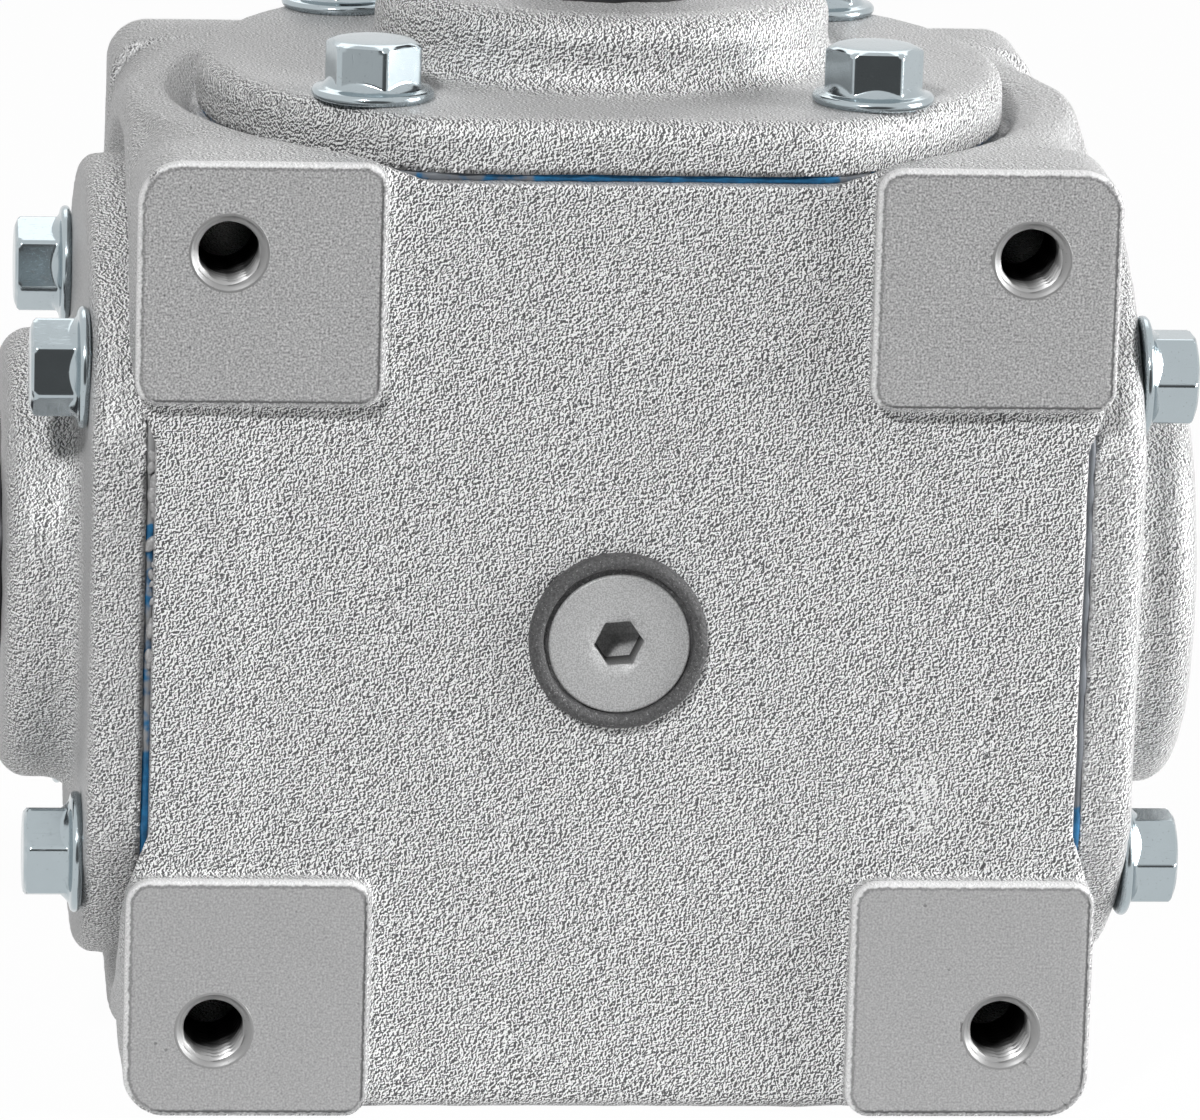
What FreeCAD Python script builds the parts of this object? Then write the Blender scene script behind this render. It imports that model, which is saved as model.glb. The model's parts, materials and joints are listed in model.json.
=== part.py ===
import FreeCAD, Part
import math
import os

# Right-angle gearbox. An upright input shaft in the top cover drives a shaft across, one turn for one,
# through a pair of straight bevel gears.
# Millimetres. The origin lies under the middle of the flat base. +Z points up along the input shaft,
# +X along the cross shaft, and the front mounting pads face -Y.
# The sizes grow from the inside out: gears, bearings, covers, then the casting around them.

# Bevel gears
gear_module = 3.0
gear_teeth = 22
gear_face = 14.0
gear_pressure_angle = 20.0
gear_backlash = 0.16          # taken off each tooth, so the pair has twice this
gear_root_clearance = 0.25    # in modules
gear_flank_foot = 0.02        # flanks start this far above the base circle, in modules
gear_gap_over = 0.3           # the gaps are cut past the tips by this, in modules
gear_gap_overrun = 0.05       # and past the toe and the heel by this share of the cone
gear_hub_r = 19.0
gear_hub_length = 5.15
cross_core_d = 30.0           # cross shaft under its gear

# Shafts
shaft_d = 25.0
shaft_end_d = 24.0            # outside the shoulder
shaft_shoulder = 1.5          # the shoulder stands this far outside the boss
shaft_extension = 50.0        # outside the boss
shaft_chamfer = 1.0
cross_collar_d = 36.0
cross_collar_width = 5.0
input_tail = 3.0              # input shaft below its retaining ring
centre_hole_r = 3.4
centre_hole_depth = 12.0
centre_mouth_r = 4.6

# Keys and keyways
key_width = 8.0
key_height = 7.0
key_depth = 4.0               # sunk in the shaft
key_top_gap = 0.3
key_side_gap = 0.02
gear_key_length = 13.0
end_keyway_length = 40.0
end_keyway_inset = 5.0
shaft_seam = 45.0             # where the turned surfaces start, clear of the keyways

# Tapered roller bearings
bearing_od = 52.0
bearing_width = 16.25         # over both rings
bearing_inner_width = 15.0
bearing_outer_width = 13.0
bearing_ring_wall = 3.5       # inner ring at mid length
bearing_tilt = 12.0           # roller axis to bearing axis, degrees
roller_length = 9.5
roller_share = 0.65           # of the room between the inner raceway and the outside
roller_space = 1.5
roller_play = 0.06            # running clearance to each raceway
small_rib = 0.8
large_rib = 2.0
rib_play = 0.3
cage_wall = 1.2
cage_lift = 0.8               # cage centre outside the roller axes
cage_rim = 2.0
cage_play = 0.2

# Spacers
shim_thickness = 1.5
shim_r = 16.5
bearing_spacer_length = 1.2
bearing_spacer_r = 17.0
sleeve_length = 17.7
sleeve_r = 17.5

# Retaining rings
shaft_ring_thickness = 1.2
shaft_ring_groove = 0.55
shaft_ring_width = 3.2
bore_ring_thickness = 2.0
bore_ring_groove = 1.5
bore_ring_width = 4.4
ring_gap_angle = 24.0
ring_ear_r = 1.9
ring_ear_hole_r = 0.9
ring_play = 0.02

# Oil seals
seal_od = 40.0
seal_width = 7.0
seal_recess = 0.5
seal_case = 1.6
seal_lip_play = 0.05
seal_lip_rise = 0.9

# Bearing covers
flange_thickness = 7.6
flange_edge = 8.0             # outside the screw circle
flange_flat_inset = 1.0       # flats behind the cast faces
flange_round = 3.0
boss_wall = 6.0
boss_length = 11.0
boss_round = 4.5
boss_fillet = 2.0
web_thickness = 1.5
web_hole_r = 17.5
spigot_length = 7.5
bearing_hub_wall = 7.0
bearing_hub_lip = 1.9
mouth_chamfer = 0.6
seat_play = 0.01              # radial room round pressed rings
spigot_play = 0.04
gasket_thickness = 1.1
gasket_inset = 0.5

# Cover screws
screw_circle_d = 98.0
screw_inner_wall = 8.9        # from the screw circle in to the spigot
screw_count = 4
screw_d = 8.0
screw_length = 22.0
screw_hole_play = 0.5
screw_thread_play = 0.02
screw_hole_extra = 3.0        # thread deeper than the screw
screw_hex = 12.0
screw_head_height = 8.0
screw_head_chamfer = 0.9
screw_flange_d = 17.0
screw_flange_rim = 1.3
screw_flange_cone = 2.1
left_head_turns = (8.0, 21.0, -13.0, 5.5)
right_head_turns = (24.0, 9.0, 30.0, 30.0)
top_head_turns = (14.0, 22.0, -19.0, -2.0)

# Housing casting
face_depth = 102.0            # between the two cast faces
edge_round = 10.0
face_round = 3.0
seat_depth = 3.1              # cover seats below the outer faces
recess_gap = 4.6              # from the flange to the recess wall, at its mouth
recess_foot_gap = 0.9         # and at the seat
rim_inset = 0.3               # rims inside the faces beside them
rim_depth = 17.0
rim_round = 2.0
gear_side_gap = 7.0
gear_end_gap = 5.3

# Mounting pads and their tapped holes
pad_height = 3.0
pad_side = 34.0
pad_reach = 9.0
pad_outer_round = 6.0
pad_inner_round = 4.0
pad_edge_round = 0.8
pad_hole_spacing = 110.0
pad_hole_d = 8.5
pad_hole_mouth = 0.95

# Oil plug and its sealing ring
plug_thread_d = 16.0
plug_thread_play = 0.02
plug_head_d = 19.6
plug_head_height = 0.5
plug_length = 11.0
plug_socket = 6.0
plug_socket_depth = 6.0
plug_socket_turn = 5.0
plug_socket_mouth_r = 4.5
plug_edge = 0.3
plug_ring_d = 24.8
plug_ring_height = 1.9
plug_ring_lip = 0.4
plug_ring_play = 0.5
plug_ring_round = 0.5

# Worked out: bevel gears
half_right = math.sqrt(0.5)
gear_pitch_r = gear_module * gear_teeth / 2.0
gear_cone = gear_pitch_r / half_right
gear_toe_scale = (gear_cone - gear_face) / gear_cone
gear_addendum = gear_module
gear_dedendum = gear_module * (1.0 + gear_root_clearance)
gear_tip_r = gear_pitch_r + gear_addendum * half_right
gear_back = math.ceil(gear_pitch_r + gear_dedendum * half_right)
gear_hub_end = gear_back + gear_hub_length
gear_front = gear_toe_scale * (gear_pitch_r + gear_dedendum * half_right)

# Worked out: distances along each shaft from the crossing of the axes
ring_offset = bearing_width - bearing_inner_width
lower_bearing_front = gear_hub_end + shim_thickness
lower_bearing_back = lower_bearing_front + bearing_inner_width
lower_cup_back = lower_bearing_front - ring_offset
upper_bearing_back = lower_bearing_back + bearing_spacer_length
top_web = upper_bearing_back + bearing_width
side_bearing_back = gear_hub_end + sleeve_length
side_web = side_bearing_back + bearing_width

# Worked out: cover heights above the flange's back
cover_height = flange_thickness + boss_length
seal_top = cover_height - seal_recess
seal_floor = seal_top - seal_width
web_floor = seal_floor - web_thickness
top_flange = top_web - web_floor
side_flange = side_web - web_floor
top_seat = top_flange - gasket_thickness
side_seat = side_flange - gasket_thickness
top_boss_end = top_flange + cover_height
side_boss_end = side_flange + cover_height

# Worked out: radii
shaft_r = shaft_d / 2.0
shaft_end_r = shaft_end_d / 2.0
cross_core_r = cross_core_d / 2.0
bearing_r = bearing_od / 2.0
boss_r = bearing_r + boss_wall
bearing_hub_r = bearing_r + bearing_hub_wall
screw_circle_r = screw_circle_d / 2.0
spigot_r = screw_circle_r - screw_inner_wall
flange_r = screw_circle_r + flange_edge
recess_r = flange_r + recess_gap
recess_foot_r = flange_r + recess_foot_gap
flange_flat = face_depth / 2.0 - flange_flat_inset

# Worked out: casting
half_width = side_seat + seat_depth
half_height = top_seat + seat_depth
axis_height = half_height
half_face = face_depth / 2.0
half_depth = half_face + pad_height
cavity_r = gear_cone + gear_end_gap
cavity_half = gear_tip_r + gear_side_gap
plug_wall = half_face - cavity_half

X = FreeCAD.Vector(1, 0, 0)
Y = FreeCAD.Vector(0, 1, 0)
Z = FreeCAD.Vector(0, 0, 1)
O = FreeCAD.Vector(0, 0, 0)
TOUCH = 1e-6                  # closer than this counts as the same place
SIDE_TURNS = {"left": -90.0, "right": 90.0, "top": 0.0}
SEATS = {"left": side_seat, "right": side_seat, "top": top_seat}


def point(x, y, z):
    """A point in millimetres."""
    return FreeCAD.Vector(x, y, z)


def cylinder(radius, start, end):
    """A round bar about Z between two heights."""
    return Part.makeCylinder(radius, end - start, point(0, 0, start), Z)


def tube(inner, outer, start, end):
    """A ring about Z between two heights."""
    return cylinder(outer, start, end).cut(cylinder(inner, start, end))


def revolved(profile):
    """The solid that a closed (radius, height) outline sweeps about Z."""
    corners = [point(r, 0, z) for r, z in profile]
    outline = Part.makePolygon(corners + corners[:1])
    return Part.Face(outline).revolve(O, Z, 360.0)


def rounded(shape, radius, wanted):
    """The shape with every edge that the test picks rounded off."""
    edges = [edge for edge in shape.Edges if wanted(edge)]
    return shape.makeFillet(radius, edges)


def level(edge, height):
    """True where a whole edge lies at one height."""
    return all(abs(vertex.Z - height) < TOUCH for vertex in edge.Vertexes)


def ring_edge(edge, radius, height):
    """True for a circle of one radius at one height."""
    round_edge = isinstance(edge.Curve, Part.Circle)
    return round_edge and level(edge, height) and abs(edge.Curve.Radius - radius) < TOUCH


def facing(edge, depth):
    """True where a whole edge lies in one plane at a depth, in front of or behind the middle."""
    depths = [vertex.Y for vertex in edge.Vertexes]
    flat = max(depths) - min(depths) < TOUCH
    return flat and abs(abs(depths[0]) - depth) < TOUCH


def lengthwise(edge):
    """True for an edge that runs straight from front to back."""
    depths = [vertex.Y for vertex in edge.Vertexes]
    return abs(max(depths) - min(depths) - edge.Length) < TOUCH


def turned(shape, axis, angle):
    """A copy turned about an axis through the origin."""
    copy = shape.copy()
    copy.rotate(O, axis, angle)
    return copy


def moved(shape, x, y, z):
    """A copy shifted by the given distances."""
    return shape.translated(point(x, y, z))


def along(shape, side):
    """Turns a shape built up +Z so that it points out of one side, from the crossing of the axes."""
    return moved(turned(shape, Y, SIDE_TURNS[side]), 0, 0, axis_height)


def slot(width, length, low, high):
    """A round-ended bar: length along Z from 0, thickness along -Y from one radius to another."""
    half = width / 2.0
    middle = Part.makeBox(width, high - low, length - width, point(-half, -high, half))
    ends = [Part.makeCylinder(half, high - low, point(0, -low, z), -Y) for z in (half, length - half)]
    return middle.fuse(ends).removeSplitter()


def hexagon(across, start, end, turn):
    """A hexagonal bar about Z with a flat towards the front, then turned."""
    reach = across / math.sqrt(3.0)
    angles = [math.radians(60.0 * k + turn) for k in range(6)]
    corners = [point(reach * math.cos(a), reach * math.sin(a), start) for a in angles]
    face = Part.Face(Part.makePolygon(corners + corners[:1]))
    return face.extrude(point(0, 0, end - start))


def screw_places():
    """Where the screws stand round a cover, starting at the corner between +X and +Y."""
    step = 2.0 * math.pi / screw_count
    angles = [step * (k + 0.5) for k in range(screw_count)]
    return [(screw_circle_r * math.cos(a), screw_circle_r * math.sin(a)) for a in angles]


def flange_outline(inset, start, end):
    """A disc with front and back flats beside the cast faces, drawn in all round by an inset."""
    disc = cylinder(flange_r - inset, start, end)
    flat = flange_flat - inset
    slab = Part.makeBox(2 * flange_r, 2 * flat, end - start, point(-flange_r, -flat, start))
    return disc.common(slab)


def screw_holes(radius, start, end):
    """Round bars at every screw's place."""
    return [moved(cylinder(radius, start, end), x, y, 0) for x, y in screw_places()]


# Bevel gears


def involute_gap_angle(radius, pitch_r, teeth):
    """Half the angle of a tooth gap at a radius of the spur gear that the back cone rolls out to."""
    base_r = pitch_r * math.cos(math.radians(gear_pressure_angle))
    here = math.acos(min(1.0, base_r / radius))
    pitch = math.radians(gear_pressure_angle)
    spread = (math.tan(pitch) - pitch) - (math.tan(here) - here)
    tooth = math.pi / (2.0 * teeth) - gear_backlash / (2.0 * pitch_r) + spread
    return math.pi / teeth - tooth


def gap_section(scale):
    """The outline of one tooth gap on the back cone, shrunk towards the apex by a scale."""
    flat_r = gear_cone
    flat_teeth = gear_teeth / half_right
    base_r = flat_r * math.cos(math.radians(gear_pressure_angle))
    root_r = flat_r - gear_dedendum
    over_r = flat_r + gear_addendum + gear_gap_over * gear_module
    foot_r = max(base_r, root_r) + gear_flank_foot * gear_module

    def place(radius, side):
        angle = side * involute_gap_angle(max(radius, foot_r), flat_r, flat_teeth)
        rise = (radius * math.cos(angle) - flat_r) * half_right
        across = radius * math.sin(angle)
        return point(gear_pitch_r + rise, across, gear_pitch_r - rise) * scale

    def flank(side):
        middle_r = (foot_r + over_r) / 2.0
        return Part.Arc(place(foot_r, side), place(middle_r, side), place(over_r, side)).toShape()

    def line(start, end):
        return Part.makeLine(start, end)

    edges = [
        flank(1),
        line(place(over_r, 1), place(over_r, -1)),
        flank(-1),
        line(place(foot_r, -1), place(root_r, -1)),
        line(place(root_r, -1), place(root_r, 1)),
        line(place(root_r, 1), place(foot_r, 1)),
    ]
    return Part.Wire(Part.__sortEdges__(edges))


def bevel_gear(bore_r, phase):
    """A mitre gear with its pitch apex at the origin and its back towards +Z."""
    tip = gear_addendum * half_right
    root = gear_dedendum * half_right
    toe = gear_toe_scale
    blank = revolved([
        (bore_r + seat_play, gear_front),
        (toe * (gear_pitch_r - root), gear_front),
        (toe * (gear_pitch_r + tip), toe * (gear_pitch_r - tip)),
        (gear_pitch_r + tip, gear_pitch_r - tip),
        (gear_pitch_r - root, gear_pitch_r + root),
        (gear_pitch_r - root - (gear_back - gear_pitch_r - root), gear_back),
        (gear_hub_r, gear_back),
        (gear_hub_r, gear_hub_end),
        (bore_r + seat_play, gear_hub_end),
    ])
    ends = ((1.0 - gear_gap_overrun) * toe, 1.0 + gear_gap_overrun)
    gap = Part.makeLoft([gap_section(scale) for scale in ends], True, True)
    pitch = 360.0 / gear_teeth
    gaps = [turned(gap, Z, pitch * k + phase) for k in range(gear_teeth)]
    half = key_width / 2.0 + key_side_gap
    slot_depth = bore_r - key_depth + key_height + key_top_gap
    keyway = Part.makeBox(2 * half, slot_depth, gear_hub_end, point(-half, -slot_depth, 0))
    return blank.cut(Part.makeCompound(gaps)).cut(keyway)


def gear_key(bore_r):
    """The key under a gear, as long as its pocket in the shaft."""
    low = bore_r - key_depth
    key = slot(key_width, gear_key_length, low, low + key_height)
    return moved(key, 0, 0, gear_front + (gear_hub_end - gear_front - gear_key_length) / 2.0)


def key_pocket(bore_r):
    """The cut for the gear's key, with a little room at its sides and ends."""
    low = bore_r - key_depth
    length = gear_key_length + 2 * key_side_gap
    pocket = slot(key_width + 2 * key_side_gap, length, low, bore_r + key_height)
    start = gear_front + (gear_hub_end - gear_front - length) / 2.0
    return moved(pocket, 0, 0, start)


# Shafts, built up +Z with the crossing of the axes at the origin


def end_keyway(end):
    """The keyway cut in a shaft's outer end, for whatever the user fits there."""
    cut = slot(key_width, end_keyway_length, shaft_end_r - key_depth, shaft_end_r + key_depth)
    return moved(cut, 0, 0, end - end_keyway_inset - end_keyway_length)


def centre_hole(end):
    """The centre hole in a shaft's end, with its cone-shaped mouth."""
    floor = end - centre_hole_depth
    mouth = centre_mouth_r - centre_hole_r
    return revolved([
        (0, floor),
        (centre_hole_r, floor),
        (centre_hole_r, end - mouth),
        (centre_mouth_r, end),
        (0, end),
    ])


def ring_groove(start):
    """The groove in the input shaft for one retaining ring."""
    inner = shaft_r - shaft_ring_groove
    return tube(inner, shaft_r + shaft_ring_groove, start, start + shaft_ring_thickness)


def input_shaft():
    """The upright shaft, plain but for two ring grooves, a key pocket and an end keyway."""
    low = gear_front - shaft_ring_thickness - input_tail
    high = top_boss_end + shaft_extension
    shoulder = top_boss_end + shaft_shoulder
    bar = revolved([
        (0, low),
        (shaft_r - shaft_chamfer, low),
        (shaft_r, low + shaft_chamfer),
        (shaft_r, shoulder),
        (shaft_end_r, shoulder),
        (shaft_end_r, high - shaft_chamfer),
        (shaft_end_r - shaft_chamfer, high),
        (0, high),
    ])
    bar = turned(bar, Z, shaft_seam)
    upper_front = upper_bearing_back + bearing_inner_width
    cuts = [
        ring_groove(gear_front - shaft_ring_thickness),
        ring_groove(upper_front),
        key_pocket(shaft_r),
        end_keyway(high),
        centre_hole(high),
    ]
    return bar.cut(cuts)


def cross_shaft():
    """The cross shaft: an outer end, a core between the bearings and a collar that stops the gear."""
    end = side_boss_end + shaft_extension
    blind = side_flange + seal_floor
    shoulder = side_boss_end + shaft_shoulder
    collar_r = cross_collar_d / 2.0
    bar = revolved([
        (0, -blind),
        (shaft_r - shaft_chamfer, -blind),
        (shaft_r, -blind + shaft_chamfer),
        (shaft_r, -side_bearing_back),
        (cross_core_r, -side_bearing_back),
        (cross_core_r, gear_front - cross_collar_width),
        (collar_r, gear_front - cross_collar_width),
        (collar_r, gear_front),
        (cross_core_r, gear_front),
        (cross_core_r, side_bearing_back),
        (shaft_r, side_bearing_back),
        (shaft_r, shoulder),
        (shaft_end_r, shoulder),
        (shaft_end_r, end - shaft_chamfer),
        (shaft_end_r - shaft_chamfer, end),
        (0, end),
    ])
    bar = turned(bar, Z, shaft_seam)
    far = turned(centre_hole(blind), Y, 180.0)
    return bar.cut([key_pocket(cross_core_r), end_keyway(end), centre_hole(end), far])


def retaining_ring(inner, outer, thickness, ear_at):
    """A flat spring ring with a gap at the front and an ear with a hole on each side of it."""
    ring = tube(inner, outer, 0, thickness)
    half = math.radians(ring_gap_angle / 2.0)
    reach = 2.0 * outer
    wedge = Part.makePolygon([
        O,
        point(-reach * math.sin(half), -reach * math.cos(half), 0),
        point(reach * math.sin(half), -reach * math.cos(half), 0),
        O,
    ])
    ring = ring.cut(Part.Face(wedge).extrude(point(0, 0, thickness)))
    lean = half + math.asin(ring_ear_r / ear_at)
    places = [(side * ear_at * math.sin(lean), -ear_at * math.cos(lean)) for side in (-1, 1)]
    ears = [moved(cylinder(ring_ear_r, 0, thickness), x, y, 0) for x, y in places]
    holes = [moved(cylinder(ring_ear_hole_r, 0, thickness), x, y, 0) for x, y in places]
    return ring.fuse(ears).cut(holes).removeSplitter()


def shaft_ring(start):
    """A retaining ring in a groove of the input shaft."""
    inner = shaft_r - shaft_ring_groove + ring_play
    outer = inner + shaft_ring_width
    return moved(retaining_ring(inner, outer, shaft_ring_thickness, outer - ring_ear_hole_r), 0, 0, start)


def bore_ring():
    """The retaining ring that holds the lower bearing's outer ring in the top cover."""
    outer = bearing_r + bore_ring_groove - ring_play
    inner = outer - bore_ring_width
    ring = retaining_ring(inner, outer, bore_ring_thickness, inner + ring_ear_hole_r)
    return moved(ring, 0, 0, lower_cup_back - bore_ring_thickness)


# Tapered roller bearings, built with the outer ring's back at height 0 and the inside below it

inner_race_r = shaft_r + bearing_ring_wall
roller_mid_r = roller_share * (bearing_r - inner_race_r) / 2.0
roller_centre_r = inner_race_r + roller_mid_r
tilt = math.radians(bearing_tilt)
roller_mid = roller_centre_r / math.sin(tilt)
roller_taper = math.atan(roller_mid_r / roller_mid)
apex_height = roller_mid * math.cos(tilt) - bearing_width / 2.0
roller_count = int(2.0 * math.pi * roller_centre_r / (2.0 * roller_mid_r + roller_space))


def race_r(height, side):
    """Raceway radius at a height, on the outer ring (side 1) or the inner ring (side -1)."""
    return (apex_height - height) * math.tan(tilt + side * roller_taper)


def on_roller_axis(distance, lift):
    """(radius, height) at a distance from the apex along a roller's axis, lifted off that axis."""
    radius = distance * math.sin(tilt) + lift * math.cos(tilt)
    height = apex_height - distance * math.cos(tilt) + lift * math.sin(tilt)
    return radius, height


def bearing_outer_ring():
    """The outer ring with its cone-shaped raceway."""
    low = -bearing_outer_width
    return revolved([(race_r(0, 1), 0), (bearing_r, 0), (bearing_r, low), (race_r(low, 1), low)])


def bearing_inner_ring():
    """The inner ring with its raceway between a small rib and a large rib."""
    top = -ring_offset
    low = -bearing_width
    roller_foot = on_roller_axis(roller_mid + roller_length / 2.0, -roller_mid_r)[1] - rib_play
    roller_head = on_roller_axis(roller_mid - roller_length / 2.0, roller_mid_r)[1] + rib_play
    bore = shaft_r + seat_play
    small = race_r(top, -1) + small_rib
    large = race_r(low, -1) + large_rib
    return revolved([
        (bore, top),
        (small, top),
        (small, min(roller_head, top - small_rib)),
        (race_r(min(roller_head, top - small_rib), -1), min(roller_head, top - small_rib)),
        (race_r(roller_foot, -1), roller_foot),
        (large, roller_foot),
        (large, low),
        (bore, low),
    ])


def roller(grow):
    """One tapered roller, or its pocket when grown, standing in the +X direction."""
    start = roller_mid - roller_length / 2.0 - grow
    end = roller_mid + roller_length / 2.0 + grow
    radii = [distance * math.tan(roller_taper) + grow for distance in (start, end)]
    head = on_roller_axis(start, 0)
    base = point(head[0], 0, head[1])
    direction = point(math.sin(tilt), 0, -math.cos(tilt))
    return Part.makeCone(radii[0], radii[1], end - start, base, direction)


def round_bearing(shape):
    """Copies of a shape at every roller's place."""
    return [turned(shape, Z, 360.0 * k / roller_count) for k in range(roller_count)]


def bearing_rollers():
    """All the rollers of one bearing."""
    return Part.makeCompound(round_bearing(roller(-roller_play)))


def bearing_cage():
    """The thin cone with a window for every roller."""
    start = roller_mid - roller_length / 2.0 - cage_rim
    end = roller_mid + roller_length / 2.0 + cage_rim
    inner = cage_lift - cage_wall / 2.0
    outer = cage_lift + cage_wall / 2.0
    shell = revolved([
        on_roller_axis(start, inner),
        on_roller_axis(end, inner),
        on_roller_axis(end, outer),
        on_roller_axis(start, outer),
    ])
    return shell.cut(round_bearing(roller(cage_play)))


# Covers, built with the flange's back at height 0


def cover_body(hub_depth):
    """The outside of a cover: flange, boss, spigot and, where it is deeper, the bearing hub."""
    flange = flange_outline(0, 0, flange_thickness)
    flange = rounded(flange, flange_round, lambda edge: level(edge, flange_thickness))
    boss = cylinder(boss_r, 0, cover_height)
    boss = rounded(boss, boss_round, lambda edge: level(edge, cover_height))
    spigot = cylinder(spigot_r - spigot_play, -spigot_length, 0)
    body = flange.fuse([boss, spigot, cylinder(bearing_hub_r, -hub_depth, 0)]).removeSplitter()
    return rounded(body, boss_fillet, lambda edge: ring_edge(edge, boss_r, flange_thickness))


def cover(hub_depth):
    """A bearing cover with its seal bore, web, bearing seat and screw holes."""
    mouth = seal_od / 2.0
    bore = revolved([
        (0, -hub_depth),
        (bearing_r + seat_play, -hub_depth),
        (bearing_r + seat_play, web_floor),
        (web_hole_r, web_floor),
        (web_hole_r, seal_floor),
        (mouth + seat_play, seal_floor),
        (mouth + seat_play, cover_height - mouth_chamfer),
        (mouth + seat_play + mouth_chamfer, cover_height),
        (0, cover_height),
    ])
    holes = screw_holes(screw_d / 2.0 + screw_hole_play, 0, flange_thickness)
    return cover_body(hub_depth).cut([bore] + holes)


def side_cover():
    """The cover for one end of the cross shaft."""
    return cover(spigot_length)


def top_cover():
    """The cover for the input shaft, with a deep hub for two bearings and a ring groove at its end."""
    groove_end = lower_cup_back - top_flange
    groove_start = groove_end - bore_ring_thickness
    hub_depth = bearing_hub_lip - groove_start
    groove_r = bearing_r + bore_ring_groove
    return cover(hub_depth).cut(tube(web_hole_r, groove_r, groove_start, groove_end))


def gasket():
    """The flat gasket under a cover."""
    sheet = flange_outline(gasket_inset, 0, gasket_thickness)
    holes = screw_holes(screw_d / 2.0 + screw_hole_play, 0, gasket_thickness)
    return sheet.cut([cylinder(spigot_r, 0, gasket_thickness)] + holes)


def oil_seal():
    """A lip seal with its outer face at height 0 and its lip just clear of the shaft."""
    rim = seal_od / 2.0
    lip = shaft_r + seal_lip_play
    neck = lip + seal_lip_rise
    return revolved([
        (neck, 0),
        (rim, 0),
        (rim, -seal_width),
        (rim - seal_case, -seal_width),
        (rim - seal_case, -seal_case),
        (neck + seal_case, -seal_case),
        (neck + seal_lip_rise, -seal_width + seal_case),
        (lip, -seal_width + 2 * seal_case),
        (neck, -seal_case),
    ])


def end_cap():
    """A cup that closes a seal bore where no shaft comes out, with its outer face at height 0."""
    rim = seal_od / 2.0
    return revolved([
        (0, 0),
        (rim, 0),
        (rim, -seal_width),
        (rim - seal_case, -seal_width),
        (rim - seal_case, -seal_case),
        (0, -seal_case),
    ])


def cover_screw(turn):
    """A hex screw with a cone-shaped flange under its head, seated at height 0."""
    rim_r = screw_flange_d / 2.0
    hex_r = screw_hex / 2.0
    corner_r = screw_hex / math.sqrt(3.0)
    skirt = revolved([
        (0, 0),
        (rim_r, 0),
        (rim_r, screw_flange_rim),
        (hex_r, screw_flange_rim + screw_flange_cone),
        (0, screw_flange_rim + screw_flange_cone),
    ])
    top = screw_head_height
    crown = revolved([
        (0, 0),
        (corner_r + screw_head_chamfer, 0),
        (corner_r + screw_head_chamfer, top - 2 * screw_head_chamfer),
        (hex_r - screw_head_chamfer, top),
        (0, top),
    ])
    head = hexagon(screw_hex, 0, top, turn).common(crown)
    shank = cylinder(screw_d / 2.0, -screw_length, 0)
    return head.fuse([skirt, shank]).removeSplitter()


def cover_screws(turns):
    """The screws of one cover, each head stopped at its own angle."""
    places = zip(screw_places(), turns)
    return Part.makeCompound([moved(cover_screw(turn), x, y, flange_thickness) for (x, y), turn in places])


# Oil plug, built up +Z with the cast face at height 0


def oil_plug():
    """A socket-head plug whose thin head sits inside its sealing ring."""
    top = plug_ring_lip + plug_head_height
    head_r = plug_head_d / 2.0
    body = revolved([
        (0, top - plug_length),
        (plug_thread_d / 2.0, top - plug_length),
        (plug_thread_d / 2.0, plug_ring_lip),
        (head_r, plug_ring_lip),
        (head_r, top - plug_edge),
        (head_r - plug_edge, top),
        (0, top),
    ])
    socket = hexagon(plug_socket, top - plug_socket_depth, top, plug_socket_turn)
    inner = plug_socket / 2.0
    mouth = Part.makeCone(inner, plug_socket_mouth_r, plug_edge, point(0, 0, top - plug_edge), Z)
    return body.cut([socket, mouth])


def plug_ring():
    """The ring under the plug's head, with a rim that stands up round it."""
    hole = plug_thread_d / 2.0 + plug_ring_play
    wall = plug_head_d / 2.0 + plug_ring_play
    rim = plug_ring_d / 2.0
    ring = revolved([
        (hole, 0),
        (rim, 0),
        (rim, plug_ring_height),
        (wall, plug_ring_height),
        (wall, plug_ring_lip),
        (hole, plug_ring_lip),
    ])
    return rounded(ring, plug_ring_round, lambda edge: level(edge, plug_ring_height))


def on_front(shape):
    """Turns a shape built up +Z to stand out of the middle of the front face."""
    return moved(turned(shape, X, 90.0), 0, -half_face, axis_height)


# Housing, built about the crossing of the axes


def corner_signs():
    """The four corners of a face, as signs along X and Z."""
    return [(x, z) for x in (-1, 1) for z in (-1, 1)]


def cast_block():
    """The main block with its long edges and the borders of its two faces rounded."""
    low = point(-half_width, -half_face, -half_height)
    block = Part.makeBox(2 * half_width, 2 * half_face, 2 * half_height, low)
    block = rounded(block, edge_round, lengthwise)
    return rounded(block, face_round, lambda edge: facing(edge, half_face))


def pad(x_sign, z_sign, y_sign):
    """One mounting pad with the short post behind it."""
    post = pad_height + pad_reach
    block = Part.makeBox(pad_side, post, pad_side)
    outer = lambda edge: all(min(v.X, v.Z) > pad_side - TOUCH for v in edge.Vertexes)
    block = rounded(block, pad_inner_round, lambda edge: lengthwise(edge) and not outer(edge))
    block = rounded(block, pad_outer_round, outer)
    block = rounded(block, pad_edge_round, lambda edge: facing(edge, 0.0))
    block = moved(block, half_width - pad_side, -half_depth, half_height - pad_side)
    if x_sign < 0:
        block = block.mirror(O, X)
    if z_sign < 0:
        block = block.mirror(O, Z)
    if y_sign > 0:
        block = block.mirror(O, Y)
    return block


def rim(side):
    """The round wall about a cover's recess, just inside the faces beside it."""
    top = SEATS[side] + seat_depth
    beside = half_width if side == "top" else half_height
    radius = beside - rim_inset
    disc = cylinder(radius, top - rim_depth, top)
    disc = rounded(disc, rim_round, lambda edge: level(edge, top))
    corner = point(-radius, -half_face, top - rim_depth)
    return disc.common(Part.makeBox(2 * radius, 2 * half_face, rim_depth, corner))


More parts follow.
